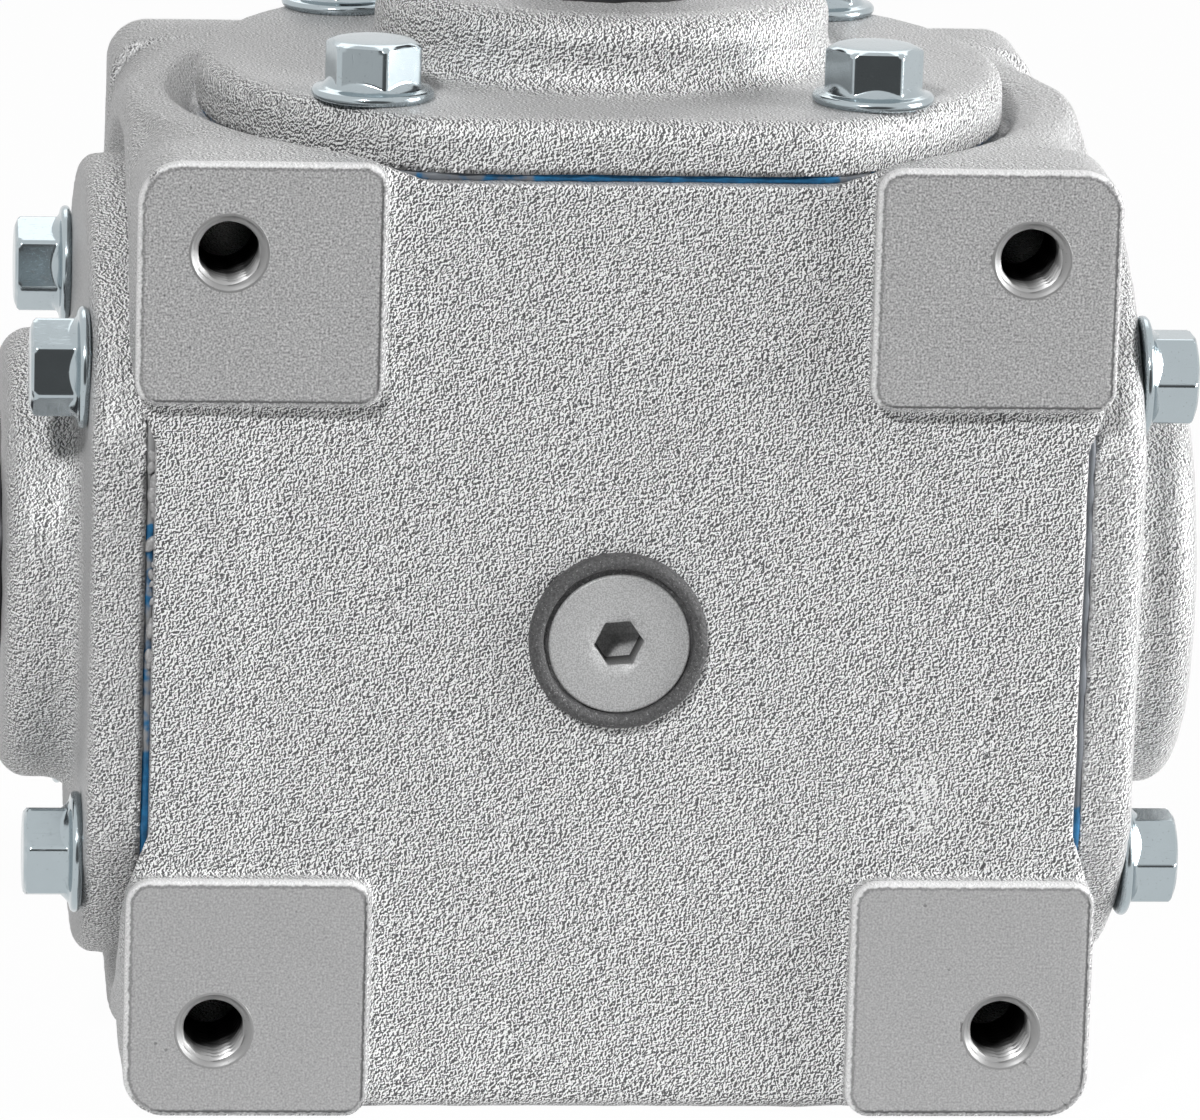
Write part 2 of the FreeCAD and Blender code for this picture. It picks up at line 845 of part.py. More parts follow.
def side_cuts(side):
    """What is cut from the casting under one cover: recess, bore and screw threads."""
    reach = SEATS[side]
    depth = screw_length - flange_thickness - gasket_thickness + screw_hole_extra
    threads = screw_holes(screw_d / 2.0 + screw_thread_play, reach - depth, reach)
    flare = recess_r - recess_foot_r
    recess = Part.makeCone(recess_foot_r, recess_r + flare, 2 * seat_depth, point(0, 0, reach), Z)
    return [recess, cylinder(spigot_r, 0, reach)] + threads


def pad_holes():
    """The tapped mounting holes, right through from face to face, with a bevelled mouth at each end."""
    radius = pad_hole_d / 2.0
    straight = half_depth - pad_hole_mouth
    hole = revolved([
        (0, -half_depth),
        (radius + pad_hole_mouth, -half_depth),
        (radius, -straight),
        (radius, straight),
        (radius + pad_hole_mouth, half_depth),
        (0, half_depth),
    ])
    half = pad_hole_spacing / 2.0
    return [moved(turned(hole, X, 90.0), x * half, 0, z * half) for x, z in corner_signs()]


def cavity():
    """The cored space round the gears, a drum lying from front to back."""
    drum = cylinder(cavity_r, -cavity_half, cavity_half)
    drum = rounded(drum, face_round, lambda edge: level(edge, cavity_half) or level(edge, -cavity_half))
    return turned(drum, X, 90.0)


def housing():
    """The casting: block, pads, rims round the covers, and everything bored into it."""
    rims = [turned(rim(side), Y, SIDE_TURNS[side]) for side in SEATS]
    pads = [pad(x, z, y) for x, z in corner_signs() for y in (-1, 1)]
    body = cast_block().fuse(rims + pads).removeSplitter()
    body = body.cut(cavity())
    for side in SEATS:
        body = body.cut([turned(cut, Y, SIDE_TURNS[side]) for cut in side_cuts(side)])
    plug_hole = cylinder(plug_thread_d / 2.0 + plug_thread_play, -2 * plug_wall, plug_wall)
    plug_hole = moved(turned(plug_hole, X, 90.0), 0, -half_face, 0)
    return moved(body.cut(pad_holes() + [plug_hole]), 0, 0, axis_height)


# Assembly


def bearing(name, side, cup_back, flipped):
    """The four pieces of one bearing, placed on a side with the outer ring's back at a distance."""
    pieces = {
        "outer_ring": bearing_outer_ring(),
        "inner_ring": bearing_inner_ring(),
        "rollers": bearing_rollers(),
        "cage": bearing_cage(),
    }
    if flipped:
        pieces = {part: turned(shape, X, 180.0) for part, shape in pieces.items()}
    return {name + "_" + part: along(moved(shape, 0, 0, cup_back), side) for part, shape in pieces.items()}


def cover_set(side, body, flange, turns, insert, insert_shape):
    """A cover with its gasket, screws and the named insert in its seal bore, placed on a side."""
    pieces = {
        "cover": body,
        "gasket": moved(gasket(), 0, 0, -gasket_thickness),
        "cover_screws": cover_screws(turns),
        insert: moved(insert_shape, 0, 0, seal_top),
    }
    return {side + "_" + part: along(moved(shape, 0, 0, flange), side) for part, shape in pieces.items()}


def drive_train():
    """The shafts with everything that turns with them."""
    half_pitch = 180.0 / gear_teeth
    upper_front = upper_bearing_back + bearing_inner_width
    bore = shaft_r + seat_play
    spacer = tube(bore, bearing_spacer_r, lower_bearing_back, upper_bearing_back)
    sleeve = tube(cross_core_r + seat_play, sleeve_r, gear_hub_end, side_bearing_back)
    return {
        "input_shaft": along(input_shaft(), "top"),
        "input_gear": along(bevel_gear(shaft_r, 0.0), "top"),
        "input_gear_key": along(gear_key(shaft_r), "top"),
        "input_gear_ring": along(shaft_ring(gear_front - shaft_ring_thickness), "top"),
        "input_bearing_ring": along(shaft_ring(upper_front), "top"),
        "input_gear_shim": along(tube(bore, shim_r, gear_hub_end, lower_bearing_front), "top"),
        "input_bearing_spacer": along(spacer, "top"),
        "cross_shaft": along(cross_shaft(), "left"),
        "cross_gear": along(bevel_gear(cross_core_r, half_pitch), "left"),
        "cross_gear_key": along(gear_key(cross_core_r), "left"),
        "cross_sleeve": along(sleeve, "left"),
    }


def assembly():
    """Every node of the gearbox by name."""
    nodes = {"housing": housing()}
    nodes.update(cover_set("left", side_cover(), side_flange, left_head_turns, "oil_seal", oil_seal()))
    nodes.update(cover_set("right", side_cover(), side_flange, right_head_turns, "end_cap", end_cap()))
    nodes.update(cover_set("top", top_cover(), top_flange, top_head_turns, "oil_seal", oil_seal()))
    nodes["oil_plug"] = on_front(oil_plug())
    nodes["oil_plug_ring"] = on_front(plug_ring())
    nodes["top_bearing_ring"] = along(bore_ring(), "top")
    nodes.update(bearing("left_bearing", "left", side_web, False))
    nodes.update(bearing("right_bearing", "right", side_web, False))
    nodes.update(bearing("upper_bearing", "top", top_web, False))
    nodes.update(bearing("lower_bearing", "top", lower_cup_back, True))
    nodes.update(drive_train())
    return nodes


os.makedirs("parts", exist_ok=True)
for name, shape in assembly().items():
    shape.exportStep("parts/" + name + ".step")
print("housing %.2f x %.2f x %.2f mm" % (2 * half_width, 2 * half_depth, 2 * half_height))
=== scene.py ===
"""Looks of the right-angle gearbox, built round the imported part.

The castings are distance fields turned into fine meshes, the turned pieces are swept from
rings, and whatever repeats is placed by geometry nodes. Sizes are in millimetres from the
crossing of the shaft axes; a mesh goes over to metres from the middle of the base when it
is made into an object.
"""

import json
import logging
import math
from dataclasses import dataclass, field, replace
from enum import Enum
from typing import ClassVar, Optional, Sequence, Union

import bpy
import numpy as np
import openvdb
from mathutils import Matrix, Vector


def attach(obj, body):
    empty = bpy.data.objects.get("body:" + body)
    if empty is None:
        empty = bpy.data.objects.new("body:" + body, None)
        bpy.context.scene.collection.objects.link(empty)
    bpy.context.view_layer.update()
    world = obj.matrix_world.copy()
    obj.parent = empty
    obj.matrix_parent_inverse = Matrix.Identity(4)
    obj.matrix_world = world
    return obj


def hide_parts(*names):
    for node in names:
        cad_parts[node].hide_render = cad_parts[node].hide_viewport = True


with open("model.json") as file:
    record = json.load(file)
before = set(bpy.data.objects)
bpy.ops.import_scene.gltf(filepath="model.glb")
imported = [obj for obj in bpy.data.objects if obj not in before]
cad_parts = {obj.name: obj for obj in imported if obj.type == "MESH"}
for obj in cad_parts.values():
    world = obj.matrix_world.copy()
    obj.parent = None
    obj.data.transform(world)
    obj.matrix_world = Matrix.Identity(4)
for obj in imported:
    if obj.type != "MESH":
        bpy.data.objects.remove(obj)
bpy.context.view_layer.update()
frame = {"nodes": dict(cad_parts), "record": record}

LOG = logging.getLogger("gearbox")
AXIS_HEIGHT = 67.5
MM = 0.001

# Direction of the painted light: the cast grain is painted pale on the side facing it and dark on the side
# away from it
PAINTED_LIGHT_FROM = np.array([-0.75, -0.45, 0.48])

Colour = tuple[float, float, float]
Key = Union[int, str]
Number = Union[float, np.ndarray]
Point = tuple[float, float, float]
Rings = list[tuple[Number, Number]]
Value = Union[float, Sequence[float], "Wire"]


def rotation(degrees: float, axis: str) -> np.ndarray:
    """Rotation matrix about one axis."""
    return np.array(Matrix.Rotation(math.radians(degrees), 3, axis))


def full_turn(steps: int) -> np.ndarray:
    """Angles of equal steps round a circle."""
    return np.arange(steps) * (2.0 * math.pi / steps)


def on_circle(angles: np.ndarray, radius: float) -> np.ndarray:
    """Points round Z at the given angles."""
    return np.column_stack([np.cos(angles), np.sin(angles), np.zeros(len(angles))]) * radius


def ramp(values: Number, low: float, width: float) -> np.ndarray:
    """Rises from 0 at a low value to 1 after a width."""
    return np.clip((values - low) / width, 0.0, 1.0)


def store(mesh: bpy.types.Mesh, name: str, values: np.ndarray) -> None:
    """Keeps a number or a vector per vertex on a mesh."""
    kind, key = ("FLOAT", "value") if values.ndim == 1 else ("FLOAT_VECTOR", "vector")
    mesh.attributes.new(name, kind, "POINT").data.foreach_set(key, values.astype(np.float32).ravel())


def put(name: str, data: bpy.types.ID) -> bpy.types.Object:
    """Makes an object of some data and links it to the scene."""
    made = bpy.data.objects.new(name, data)
    bpy.context.scene.collection.objects.link(made)
    return made


class Side(Enum):
    """The three covered sides of the box, with the turn about Y that brings +Z there."""

    LEFT = -90.0
    RIGHT = 90.0
    TOP = 0.0

    @property
    def label(self) -> str:
        """Name used in node names."""
        return self.name.lower()

    @property
    def turn(self) -> np.ndarray:
        """Rotation matrix from a cover's own axes to the box."""
        return rotation(self.value, "Y")


class Slot(Enum):
    """Material slots of the record."""

    PAINT = "silver_paint"
    SEALANT = "blue_sealant"
    ZINC = "zinc_plate"
    SEAL = "seal_rubber"
    PLUG = "plug_steel"
    RING = "ring_rubber"
    SHAFT = "dark_steel"
    GEAR = "gear_steel"
    BEARING = "bearing_steel"
    CAGE = "cage_brass"
    SPRING = "spring_steel"


# Meshes


@dataclass
class Shell:
    """A closed surface in millimetres.

    Attributes:
        points: One row per vertex.
        faces: Arrays of triangles or quads, as rows of vertex numbers.
        normals: Vertex normals, or None to take them from the faces.
        marks: Named values per vertex, for the materials.
        crease: Angle in degrees over which an edge is sharp, where normals is None.
    """

    points: np.ndarray
    faces: list[np.ndarray]
    normals: Optional[np.ndarray] = None
    marks: dict[str, np.ndarray] = field(default_factory=dict)
    crease: float = 38.0

    def turned(self, turn: np.ndarray, shift: Sequence[float] = (0.0, 0.0, 0.0)) -> "Shell":
        """Turns and then moves the surface.

        Args:
            turn: Rotation matrix.
            shift: Move in millimetres.

        Returns:
            The moved surface.
        """
        normals = None if self.normals is None else self.normals @ turn.T
        return Shell(self.points @ turn.T + np.array(shift), self.faces, normals, self.marks, self.crease)

    def mesh(self, name: str, lift: float = AXIS_HEIGHT) -> bpy.types.Mesh:
        """Makes the mesh data.

        Args:
            name: Name of the mesh.
            lift: Height of the axes' crossing over the origin.

        Returns:
            The mesh.
        """
        mesh = bpy.data.meshes.new(name)
        points = (self.points + (0.0, 0.0, lift)) * MM
        mesh.vertices.add(len(points))
        mesh.vertices.foreach_set("co", points.astype(np.float32).ravel())
        corners = np.concatenate([f.ravel() for f in self.faces]).astype(np.int32)
        sizes = np.concatenate([np.full(len(f), f.shape[1]) for f in self.faces])
        starts = np.concatenate([[0], np.cumsum(sizes)[:-1]]).astype(np.int32)
        mesh.loops.add(len(corners))
        mesh.loops.foreach_set("vertex_index", corners)
        mesh.polygons.add(len(sizes))
        mesh.polygons.foreach_set("loop_start", starts)
        mesh.polygons.foreach_set("use_smooth", np.ones(len(sizes), bool))
        mesh.update(calc_edges=True)
        mesh.validate()
        for key, values in self.marks.items():
            store(mesh, key, values)
        if self.normals is None:
            mesh.set_sharp_from_angle(angle=math.radians(self.crease))
            return mesh
        mesh.normals_split_custom_set_from_vertices(self.normals.astype(np.float32))
        # Painted light: each vertex keeps the painted light's direction along its surface, which the cast
        # grain's painted shading follows
        ways = PAINTED_LIGHT_FROM - self.normals * (self.normals @ PAINTED_LIGHT_FROM)[:, None]
        ways /= np.maximum(np.linalg.norm(ways, axis=1), 0.2)[:, None]
        store(mesh, "way", ways)
        return mesh

    def piece(self, name: str) -> bpy.types.Object:
        """Makes an object of the surface and links it to the scene.

        Args:
            name: Name of the object.

        Returns:
            The object, at the origin.
        """
        return put(name, self.mesh(name))


def lathe(rings: Rings, steps: int, loop: bool = False) -> Shell:
    """Sweeps rings about Z.

    Args:
        rings: Radius and height of each ring, each one number or one per step. Without a
            loop the first and last radius are taken as points on the axis.
        steps: Points round each ring.
        loop: True to join the last ring to the first.

    Returns:
        The closed surface.
    """
    angles = full_turn(steps)
    body = rings if loop else rings[1:-1]
    rows = []
    for radius, height in body:
        r = np.broadcast_to(radius, steps)
        rows.append(np.column_stack([r * np.cos(angles), r * np.sin(angles), np.broadcast_to(height, steps)]))
    points = np.concatenate(rows)
    count = len(body)
    here = np.arange(steps)
    after = (here + 1) % steps
    quads = []
    for k in range(count if loop else count - 1):
        low, high = k * steps, ((k + 1) % count) * steps
        quads.append(np.column_stack([low + here, low + after, high + after, high + here]))
    faces = [np.concatenate(quads)]
    if not loop:
        first, last = len(points), len(points) + 1
        ends = [(0.0, 0.0, float(np.mean(height))) for _, height in (rings[0], rings[-1])]
        points = np.concatenate([points, np.array(ends)])
        top = (count - 1) * steps
        faces.append(np.concatenate([
            np.column_stack([np.full(steps, first), after, here]),
            np.column_stack([np.full(steps, last), top + here, top + after]),
        ]))
    return Shell(points, faces)


def arc(radius: float, centre: tuple[float, float], start: float, end: float, count: int) -> Rings:
    """Points on an arc in the half plane of radius and height.

    Args:
        radius: Radius of the arc.
        centre: Radius and height of its centre.
        start: First angle in degrees, from outward towards up.
        end: Last angle in degrees.
        count: Number of points.

    Returns:
        The points.
    """
    angles = [math.radians(start + (end - start) * k / (count - 1)) for k in range(count)]
    return [(centre[0] + radius * math.cos(a), centre[1] + radius * math.sin(a)) for a in angles]


def hexagon(across: float, angles: np.ndarray, turn: float = 0.0, corner: float = 1.0) -> np.ndarray:
    """Radius of a hexagon at each angle, with a corner at angle 0.

    Args:
        across: Size across flats.
        angles: Angles in radians.
        turn: Turn of the hexagon in degrees.
        corner: Share of the full corner radius that is kept.

    Returns:
        One radius per angle.
    """
    sector = math.pi / 3.0
    off = (angles - math.radians(turn)) % sector - sector / 2.0
    return np.minimum(across / 2.0 / np.cos(off), across / 2.0 / math.cos(sector / 2.0) * corner)


def ripples(points: np.ndarray, length: float, seed: int, count: int = 14) -> np.ndarray:
    """Smooth irregular waves of about unit size.

    Args:
        points: Places to take them at.
        length: Typical wave length.
        seed: Fixed seed.
        count: Number of waves laid over each other.

    Returns:
        One value per point.
    """
    rng = np.random.default_rng(seed)
    ways = rng.normal(size=(count, 3))
    ways /= np.linalg.norm(ways, axis=1)[:, None]
    rates = 2.0 * math.pi / length * rng.uniform(0.6, 1.5, count)
    return np.sin(points @ (ways * rates[:, None]).T + rng.uniform(0.0, 6.3, count)).sum(1) / math.sqrt(count)


# Distance fields


def meet(a: np.ndarray, b: np.ndarray, radius: Number) -> np.ndarray:
    """Both fields, with a round of that radius where their faces meet."""
    radius = np.asarray(radius, np.float32)
    a = a + radius
    b = b + radius
    out = np.hypot(np.maximum(a, 0), np.maximum(b, 0))
    return np.minimum(np.maximum(a, b), 0) + out - radius


def join(a: np.ndarray, b: np.ndarray, width: float) -> np.ndarray:
    """Either field, with a fillet of about that width between them."""
    near = np.maximum(np.float32(width) - np.abs(a - b), 0) / np.float32(width)
    return np.minimum(a, b) - near * near * np.float32(width / 4.0)


def carve(a: np.ndarray, b: np.ndarray, width: float) -> np.ndarray:
    """The first field without the second, with the edge eased over that width."""
    return -join(-a, b, width)


@dataclass
class Casting:
    """A cast piece given by a distance field that is the same left and right.

    Attributes:
        voxel: Size of the cells the field is sampled at.
        thrift: How far the mesher may merge flat parts.
        wave: Height of the slow waves left by the mould.
        spare: Room left round the piece.
    """

    voxel: float = 0.45
    thrift: float = 0.05
    wave: float = 0.05
    spare: float = 1.5

    def extent(self) -> tuple[float, float, float, float]:
        """Half width, half depth, lowest and highest point of the sampled room."""
        raise NotImplementedError

    def distance(self, x: np.ndarray, y: np.ndarray, z: np.ndarray) -> np.ndarray:
        """Distance to the surface, less than nothing inside."""
        raise NotImplementedError

    def marks(self, points: np.ndarray, normals: np.ndarray) -> dict[str, np.ndarray]:
        """Values per vertex for the paint.

        Args:
            points: Vertices.
            normals: Their normals.

        Returns:
            Named values.
        """
        raise NotImplementedError

    def cast(self, points: np.ndarray) -> np.ndarray:
        """Where the mould's own waves show, from 0 to 1, at each point."""
        return np.ones(len(points))

    def worn(self, points: np.ndarray) -> np.ndarray:
        """The field with the mould's waves, at single points."""
        clean = self.distance(points[:, 0], points[:, 1], points[:, 2])
        waves = ripples(points, 17.0, 3) + 0.6 * ripples(points, 6.0, 5)
        return clean + self.wave * self.cast(points) * waves

    def slope(self, points: np.ndarray, step: float = 0.03) -> np.ndarray:
        """Gradient of the field at single points."""
        rows = []
        for axis in range(3):
            shift = np.zeros(3)
            shift[axis] = step
            rows.append((self.worn(points + shift) - self.worn(points - shift)) / (2.0 * step))
        return np.column_stack(rows)

    def shell(self) -> Shell:
        """Meshes the field and settles the vertices on it.

        Returns:
            The closed surface with its normals and marks.
        """
        wide, deep, low, high = self.extent()
        h = self.voxel
        counts = [math.ceil(wide / h), math.ceil(deep / h), math.ceil((high - low) / h)]
        counts[1] *= 2
        x, y, z = ((np.arange(n) + 0.5).astype(np.float32) * np.float32(h) for n in counts)
        y = y - np.float32(counts[1] * h / 2.0)
        d = self.distance(x[:, None, None], y[None, :, None], z[None, None, :] + np.float32(low))
        d = np.concatenate([d[::-1], d], 0)
        band = 3.0 * h
        grid = openvdb.FloatGrid(background=band)
        grid.copyFromArray(np.clip(d, -band, band), tolerance=0)
        points, tris, quads = grid.convertToPolygons(isovalue=0.0, adaptivity=self.thrift)
        offset = np.array([0.5 - counts[0], 0.5 - counts[1] / 2.0, 0.5 + low / h])
        points = (points.astype(float) + offset) * h
        for _ in range(3):
            g = self.slope(points)
            size = np.maximum((g * g).sum(1), 0.25)
            step = np.clip(self.worn(points) / size, -h, h)
            points = points - g * step[:, None]
        g = self.slope(points)
        normals = g / np.maximum(np.linalg.norm(g, axis=1), 1e-6)[:, None]
        faces = [f.astype(np.int64) for f in (tris, quads) if len(f)]
        probe = faces[0][:200]
        flat = np.cross(points[probe[:, 1]] - points[probe[:, 0]], points[probe[:, 2]] - points[probe[:, 0]])
        if (flat * normals[probe[:, 0]]).sum() < 0:
            faces = [f[:, ::-1] for f in faces]
        return Shell(points, faces, normals, self.marks(points, normals))


@dataclass
class HousingCasting(Casting):
    """The box: block, rims round the covers, mounting pads, recesses, bores and gear space."""

    voxel: float = 0.42
    thrift: float = 0.06
    spare: float = 2.0
    half: float = AXIS_HEIGHT
    face: float = 51.0
    pad_face: float = 54.0
    edge_round: float = 10.0
    face_round: float = 3.0
    pad_side: float = 34.0
    pad_round: float = 3.4
    pad_outer_round: float = 6.0
    pad_edge: float = 0.7
    pad_root: float = 8.0
    pad_fillet: float = 1.3
    rim_r: float = 67.2
    rim_depth: float = 17.0
    rim_round: float = 2.0
    rim_fillet: float = 1.6
    recess_foot_r: float = 57.9
    recess_r: float = 61.6
    seat: float = 64.4
    seat_round: float = 0.6
    bore_r: float = 40.1
    bore_edge: float = 0.4
    space_r: float = 52.0
    space_half: float = 43.0
    hole_at: float = 55.0
    hole_r: float = 5.2
    hole_edge: float = 0.25
    plug_r: float = 8.1
    plug_wall: float = 30.0

    def extent(self) -> tuple[float, float, float, float]:
        """Half width, half depth, lowest and highest point of the sampled room."""
        room = self.half + self.spare
        return room, self.pad_face + self.spare, -room, room

    def distance(self, x: np.ndarray, y: np.ndarray, z: np.ndarray) -> np.ndarray:
        """Distance to the surface, less than nothing inside."""
        ax, ay, az = np.abs(x), np.abs(y), np.abs(z)
        block = meet(meet(ax - self.half, az - self.half, self.edge_round), ay - self.face, self.face_round)
        about_x, about_z = np.hypot(y, z), np.hypot(x, y)
        sides = ((about_x, ax), (about_z, z))
        for around, out in sides:
            rim = np.maximum(out - self.half, self.half - self.rim_depth - out)
            rim = meet(meet(around - self.rim_r, rim, self.rim_round), ay - self.face, self.face_round)
            block = join(block, rim, self.rim_fillet)
        half_pad = self.pad_side / 2.0
        middle = self.half - half_pad
        corner = np.where((ax > middle) & (az > middle), self.pad_outer_round, self.pad_round)
        square = meet(np.abs(ax - middle) - half_pad, np.abs(az - middle) - half_pad, corner)
        pad = meet(square, np.abs(ay - self.pad_face + self.pad_root) - self.pad_root, self.pad_edge)
        block = join(block, pad, self.pad_fillet)
        rise, flare = self.half - self.seat, self.recess_r - self.recess_foot_r
        for around, out in sides:
            wall = around - self.recess_foot_r - (out - self.seat) * (flare / rise)
            wall = wall * (rise / math.hypot(rise, flare))
            block = meet(block, -np.maximum(wall, self.seat - out), self.seat_round)
            block = carve(block, np.maximum(around - self.bore_r, -out), self.bore_edge)
        about_y = np.hypot(x, z)
        space = meet(about_y - self.space_r, ay - self.space_half, self.face_round)
        block = carve(block, space, self.bore_edge)
        block = np.maximum(block, -np.maximum(about_y - self.plug_r, y + self.plug_wall))
        return carve(block, np.hypot(ax - self.hole_at, az - self.hole_at) - self.hole_r, self.hole_edge)

    def cast(self, points: np.ndarray) -> np.ndarray:
        """No waves on the machined pad faces."""
        return ramp(self.pad_face - np.abs(points[:, 1]), 0.4, 1.5)

    def marks(self, points: np.ndarray, normals: np.ndarray) -> dict[str, np.ndarray]:
        """Coarse grain on the cast faces, fine grain elsewhere; see Casting."""
        out = np.abs(points[:, 1])
        facing = ramp(np.abs(normals[:, 1]), 0.5, 0.4) * ramp(out - self.face, -1.4, 0.8)
        low = ramp(self.pad_face - out, 0.9, 0.8)
        return {"grain": 0.2 + 0.8 * facing * low}


@dataclass
class CoverCasting(Casting):
    """A bearing cover: flange with two flats, boss, spigot and seal bore, about its own Z."""

    flange_r: float = 57.0
    flat: float = 50.0
    seat: float = 65.5
    flange_top: float = 73.1
    flange_round: float = 3.0
    corner_round: float = 2.5
    boss_r: float = 32.0
    boss_top: float = 84.1
    boss_round: float = 4.5
    boss_fillet: float = 5.0
    spigot_r: float = 40.0
    spigot_length: float = 7.5
    bearing_r: float = 26.0
    web_low: float = 75.1
    web_r: float = 17.5
    seal_low: float = 76.6
    seal_r: float = 20.0
    bore_edge: float = 0.3
    mouth_edge: float = 0.5

    def extent(self) -> tuple[float, float, float, float]:
        """Half width, half depth, lowest and highest point of the sampled room."""
        low = self.seat - self.spigot_length - self.spare
        return self.flange_r + self.spare, self.flat + self.spare, low, self.boss_top + self.spare

    def distance(self, x: np.ndarray, y: np.ndarray, z: np.ndarray) -> np.ndarray:
        """Distance to the surface, less than nothing inside."""
        around = np.hypot(x, y)
        outline = meet(around - self.flange_r, np.abs(y) - self.flat, self.corner_round)
        body = np.maximum(meet(outline, z - self.flange_top, self.flange_round), self.seat - z)
        boss = np.maximum(meet(around - self.boss_r, z - self.boss_top, self.boss_round), self.seat - z)
        body = join(body, boss, self.boss_fillet)
        spigot = np.maximum(around - self.spigot_r, np.abs(z - self.seat) - self.spigot_length)
        body = np.minimum(body, spigot)
        body = carve(body, np.maximum(around - self.bearing_r, z - self.web_low), self.bore_edge)
        body = carve(body, around - self.web_r, self.bore_edge)
        return carve(body, np.maximum(around - self.seal_r, self.seal_low - z), self.mouth_edge)

    def marks(self, points: np.ndarray, normals: np.ndarray) -> dict[str, np.ndarray]:
        """Coarse grain on walls, fine grain on faces along the axis; see Casting."""
        wall = ramp(-np.abs(normals[:, 2]), -0.93, 0.3)
        return {"grain": 0.15 + 0.85 * wall}


# Materials


@dataclass(frozen=True)
class Wire:
    """A value in a node tree that can be reckoned with.

    Attributes:
        graph: The tree's builder.
        socket: The socket that gives the value.
    """

    graph: "Graph"
    socket: bpy.types.NodeSocket

    def __add__(self, other: Value) -> "Wire":
        """Sum."""
        return self.graph.math("ADD", self, other)

    def __sub__(self, other: Value) -> "Wire":
        """Difference."""
        return self.graph.math("SUBTRACT", self, other)

    def __rsub__(self, other: float) -> "Wire":
        """Difference from a number."""
        return self.graph.math("SUBTRACT", other, self)

    def __mul__(self, other: Value) -> "Wire":
        """Product."""
        return self.graph.math("MULTIPLY", self, other)

    def __abs__(self) -> "Wire":
        """Size without the sign."""
        return self.graph.math("ABSOLUTE", self)

    def most(self, other: Value) -> "Wire":
        """The larger of two."""
        return self.graph.math("MAXIMUM", self, other)

    def span(self, low: float, high: float, to_low: float = 0.0, to_high: float = 1.0) -> "Wire":
        """Maps a range of values to another and clamps it."""
        inputs = {0: self, 1: low, 2: high, 3: to_low, 4: to_high}
        return self.graph.get("ShaderNodeMapRange", inputs, interpolation_type="SMOOTHSTEP")


class Graph:
    """Adds nodes to one node tree and links them."""

    def __init__(self, tree: bpy.types.NodeTree) -> None:
        """Takes the tree to add to."""
        self.tree = tree

    @classmethod
    def fresh(cls, owner: Union[bpy.types.Material, bpy.types.World]) -> "Graph":
        """Empties the nodes of a material or world and starts on them."""
        owner.use_nodes = True
        owner.node_tree.nodes.clear()
        return cls(owner.node_tree)

    def add(self, kind: str, inputs: Optional[dict] = None, **props: object) -> bpy.types.Node:
        """Adds a node.

        Args:
            kind: Type of the node.
            inputs: Values by input name or number.
            **props: Properties of the node.

        Returns:
            The node.
        """
        node = self.tree.nodes.new(kind)
        for key, value in props.items():
            setattr(node, key, value)
        for key, value in (inputs or {}).items():
            if isinstance(value, Wire):
                self.tree.links.new(value.socket, node.inputs[key])
            else:
                node.inputs[key].default_value = value
        return node

    def get(self, kind: str, inputs: Optional[dict] = None, out: Key = 0, **props: object) -> Wire:
        """Adds a node and returns one of its outputs; see add."""
        return Wire(self, self.add(kind, inputs, **props).outputs[out])

    def wires(self, node: bpy.types.Node) -> dict[str, Wire]:
        """All outputs of a node by name."""
        return {socket.name: Wire(self, socket) for socket in node.outputs}

    def math(self, operation: str, a: Value, b: Value = 0.0, clamp: bool = False) -> Wire:
        """One arithmetic step."""
        return self.get("ShaderNodeMath", {0: a, 1: b}, operation=operation, use_clamp=clamp)

    def vector(self, operation: str, a: Value, b: Value = (0.0, 0.0, 0.0), out: Key = 0) -> Wire:
        """One vector step."""
        return self.get("ShaderNodeVectorMath", {0: a, 1: b}, out, operation=operation)

    def split(self, vector: Wire) -> tuple[Wire, ...]:
        """The three parts of a vector."""
        return tuple(self.wires(self.add("ShaderNodeSeparateXYZ", {0: vector})).values())

    def noise(
        self, place: Wire, size: float, detail: float = 2.0, rough: float = 0.5, twist: float = 0.0
    ) -> Wire:
        """Smooth noise with features of about a size in millimetres."""
        inputs = {"Vector": place, "Scale": 1.0 / (size * MM), "Detail": detail, "Roughness": rough}
        return self.get("ShaderNodeTexNoise", {**inputs, "Distortion": twist})

    def cells(self, place: Wire, size: float) -> Wire:
        """Distance from the middles of cells of about a size in millimetres."""
        return self.get("ShaderNodeTexVoronoi", {"Vector": place, "Scale": 1.0 / (size * MM)}, feature="F1")

    def stretched(self, place: Wire, turn: Sequence[float], scale: Sequence[float]) -> Wire:
        """Turned and stretched coordinates."""
        return self.get("ShaderNodeMapping", {0: place, "Rotation": turn, "Scale": scale})

    def ramp(self, value: Wire, stops: Sequence[tuple[float, Sequence[float]]]) -> Wire:
        """Colours along a value, as stops of place and colour."""
        node = self.add("ShaderNodeValToRGB", {0: value})
        row = node.color_ramp.elements
        while len(row) < len(stops):
            row.new(1.0)
        for element, (place, colour) in zip(row, stops):
            element.position = place
            element.color = colour
        return Wire(self, node.outputs[0])

    def mix(self, share: Wire, a: Value, b: Value) -> Wire:
        """Mixes two colours."""
        return self.get("ShaderNodeMix", {0: share, 6: a, 7: b}, 2, data_type="RGBA")

    def bump(self, height: Wire) -> Wire:
        """A normal from a height in millimetres."""
        return self.get("ShaderNodeBump", {"Height": height, "Distance": MM, "Strength": 1.0})

    def seen(self) -> Wire:
        """1 for what the camera sees directly, in a reflection or through glass, 0 for the rest."""
        rays = self.wires(self.add("ShaderNodeLightPath"))
        return rays["Is Camera Ray"].most(rays["Is Glossy Ray"]).most(rays["Is Transmission Ray"])

    def place(self) -> Wire:
        """Object coordinates."""
        return self.get("ShaderNodeTexCoord", out="Object")

    def mark(self, name: str, out: str = "Fac") -> Wire:
        """A value per vertex."""
        return self.get("ShaderNodeAttribute", out=out, attribute_name=name)

    def effect(self, kind: "type[Effect]", **inputs: Value) -> dict[str, Wire]:
        """Adds a shared effect and returns its outputs by name."""
        return self.wires(self.add("ShaderNodeGroup", inputs, node_tree=kind().tree()))


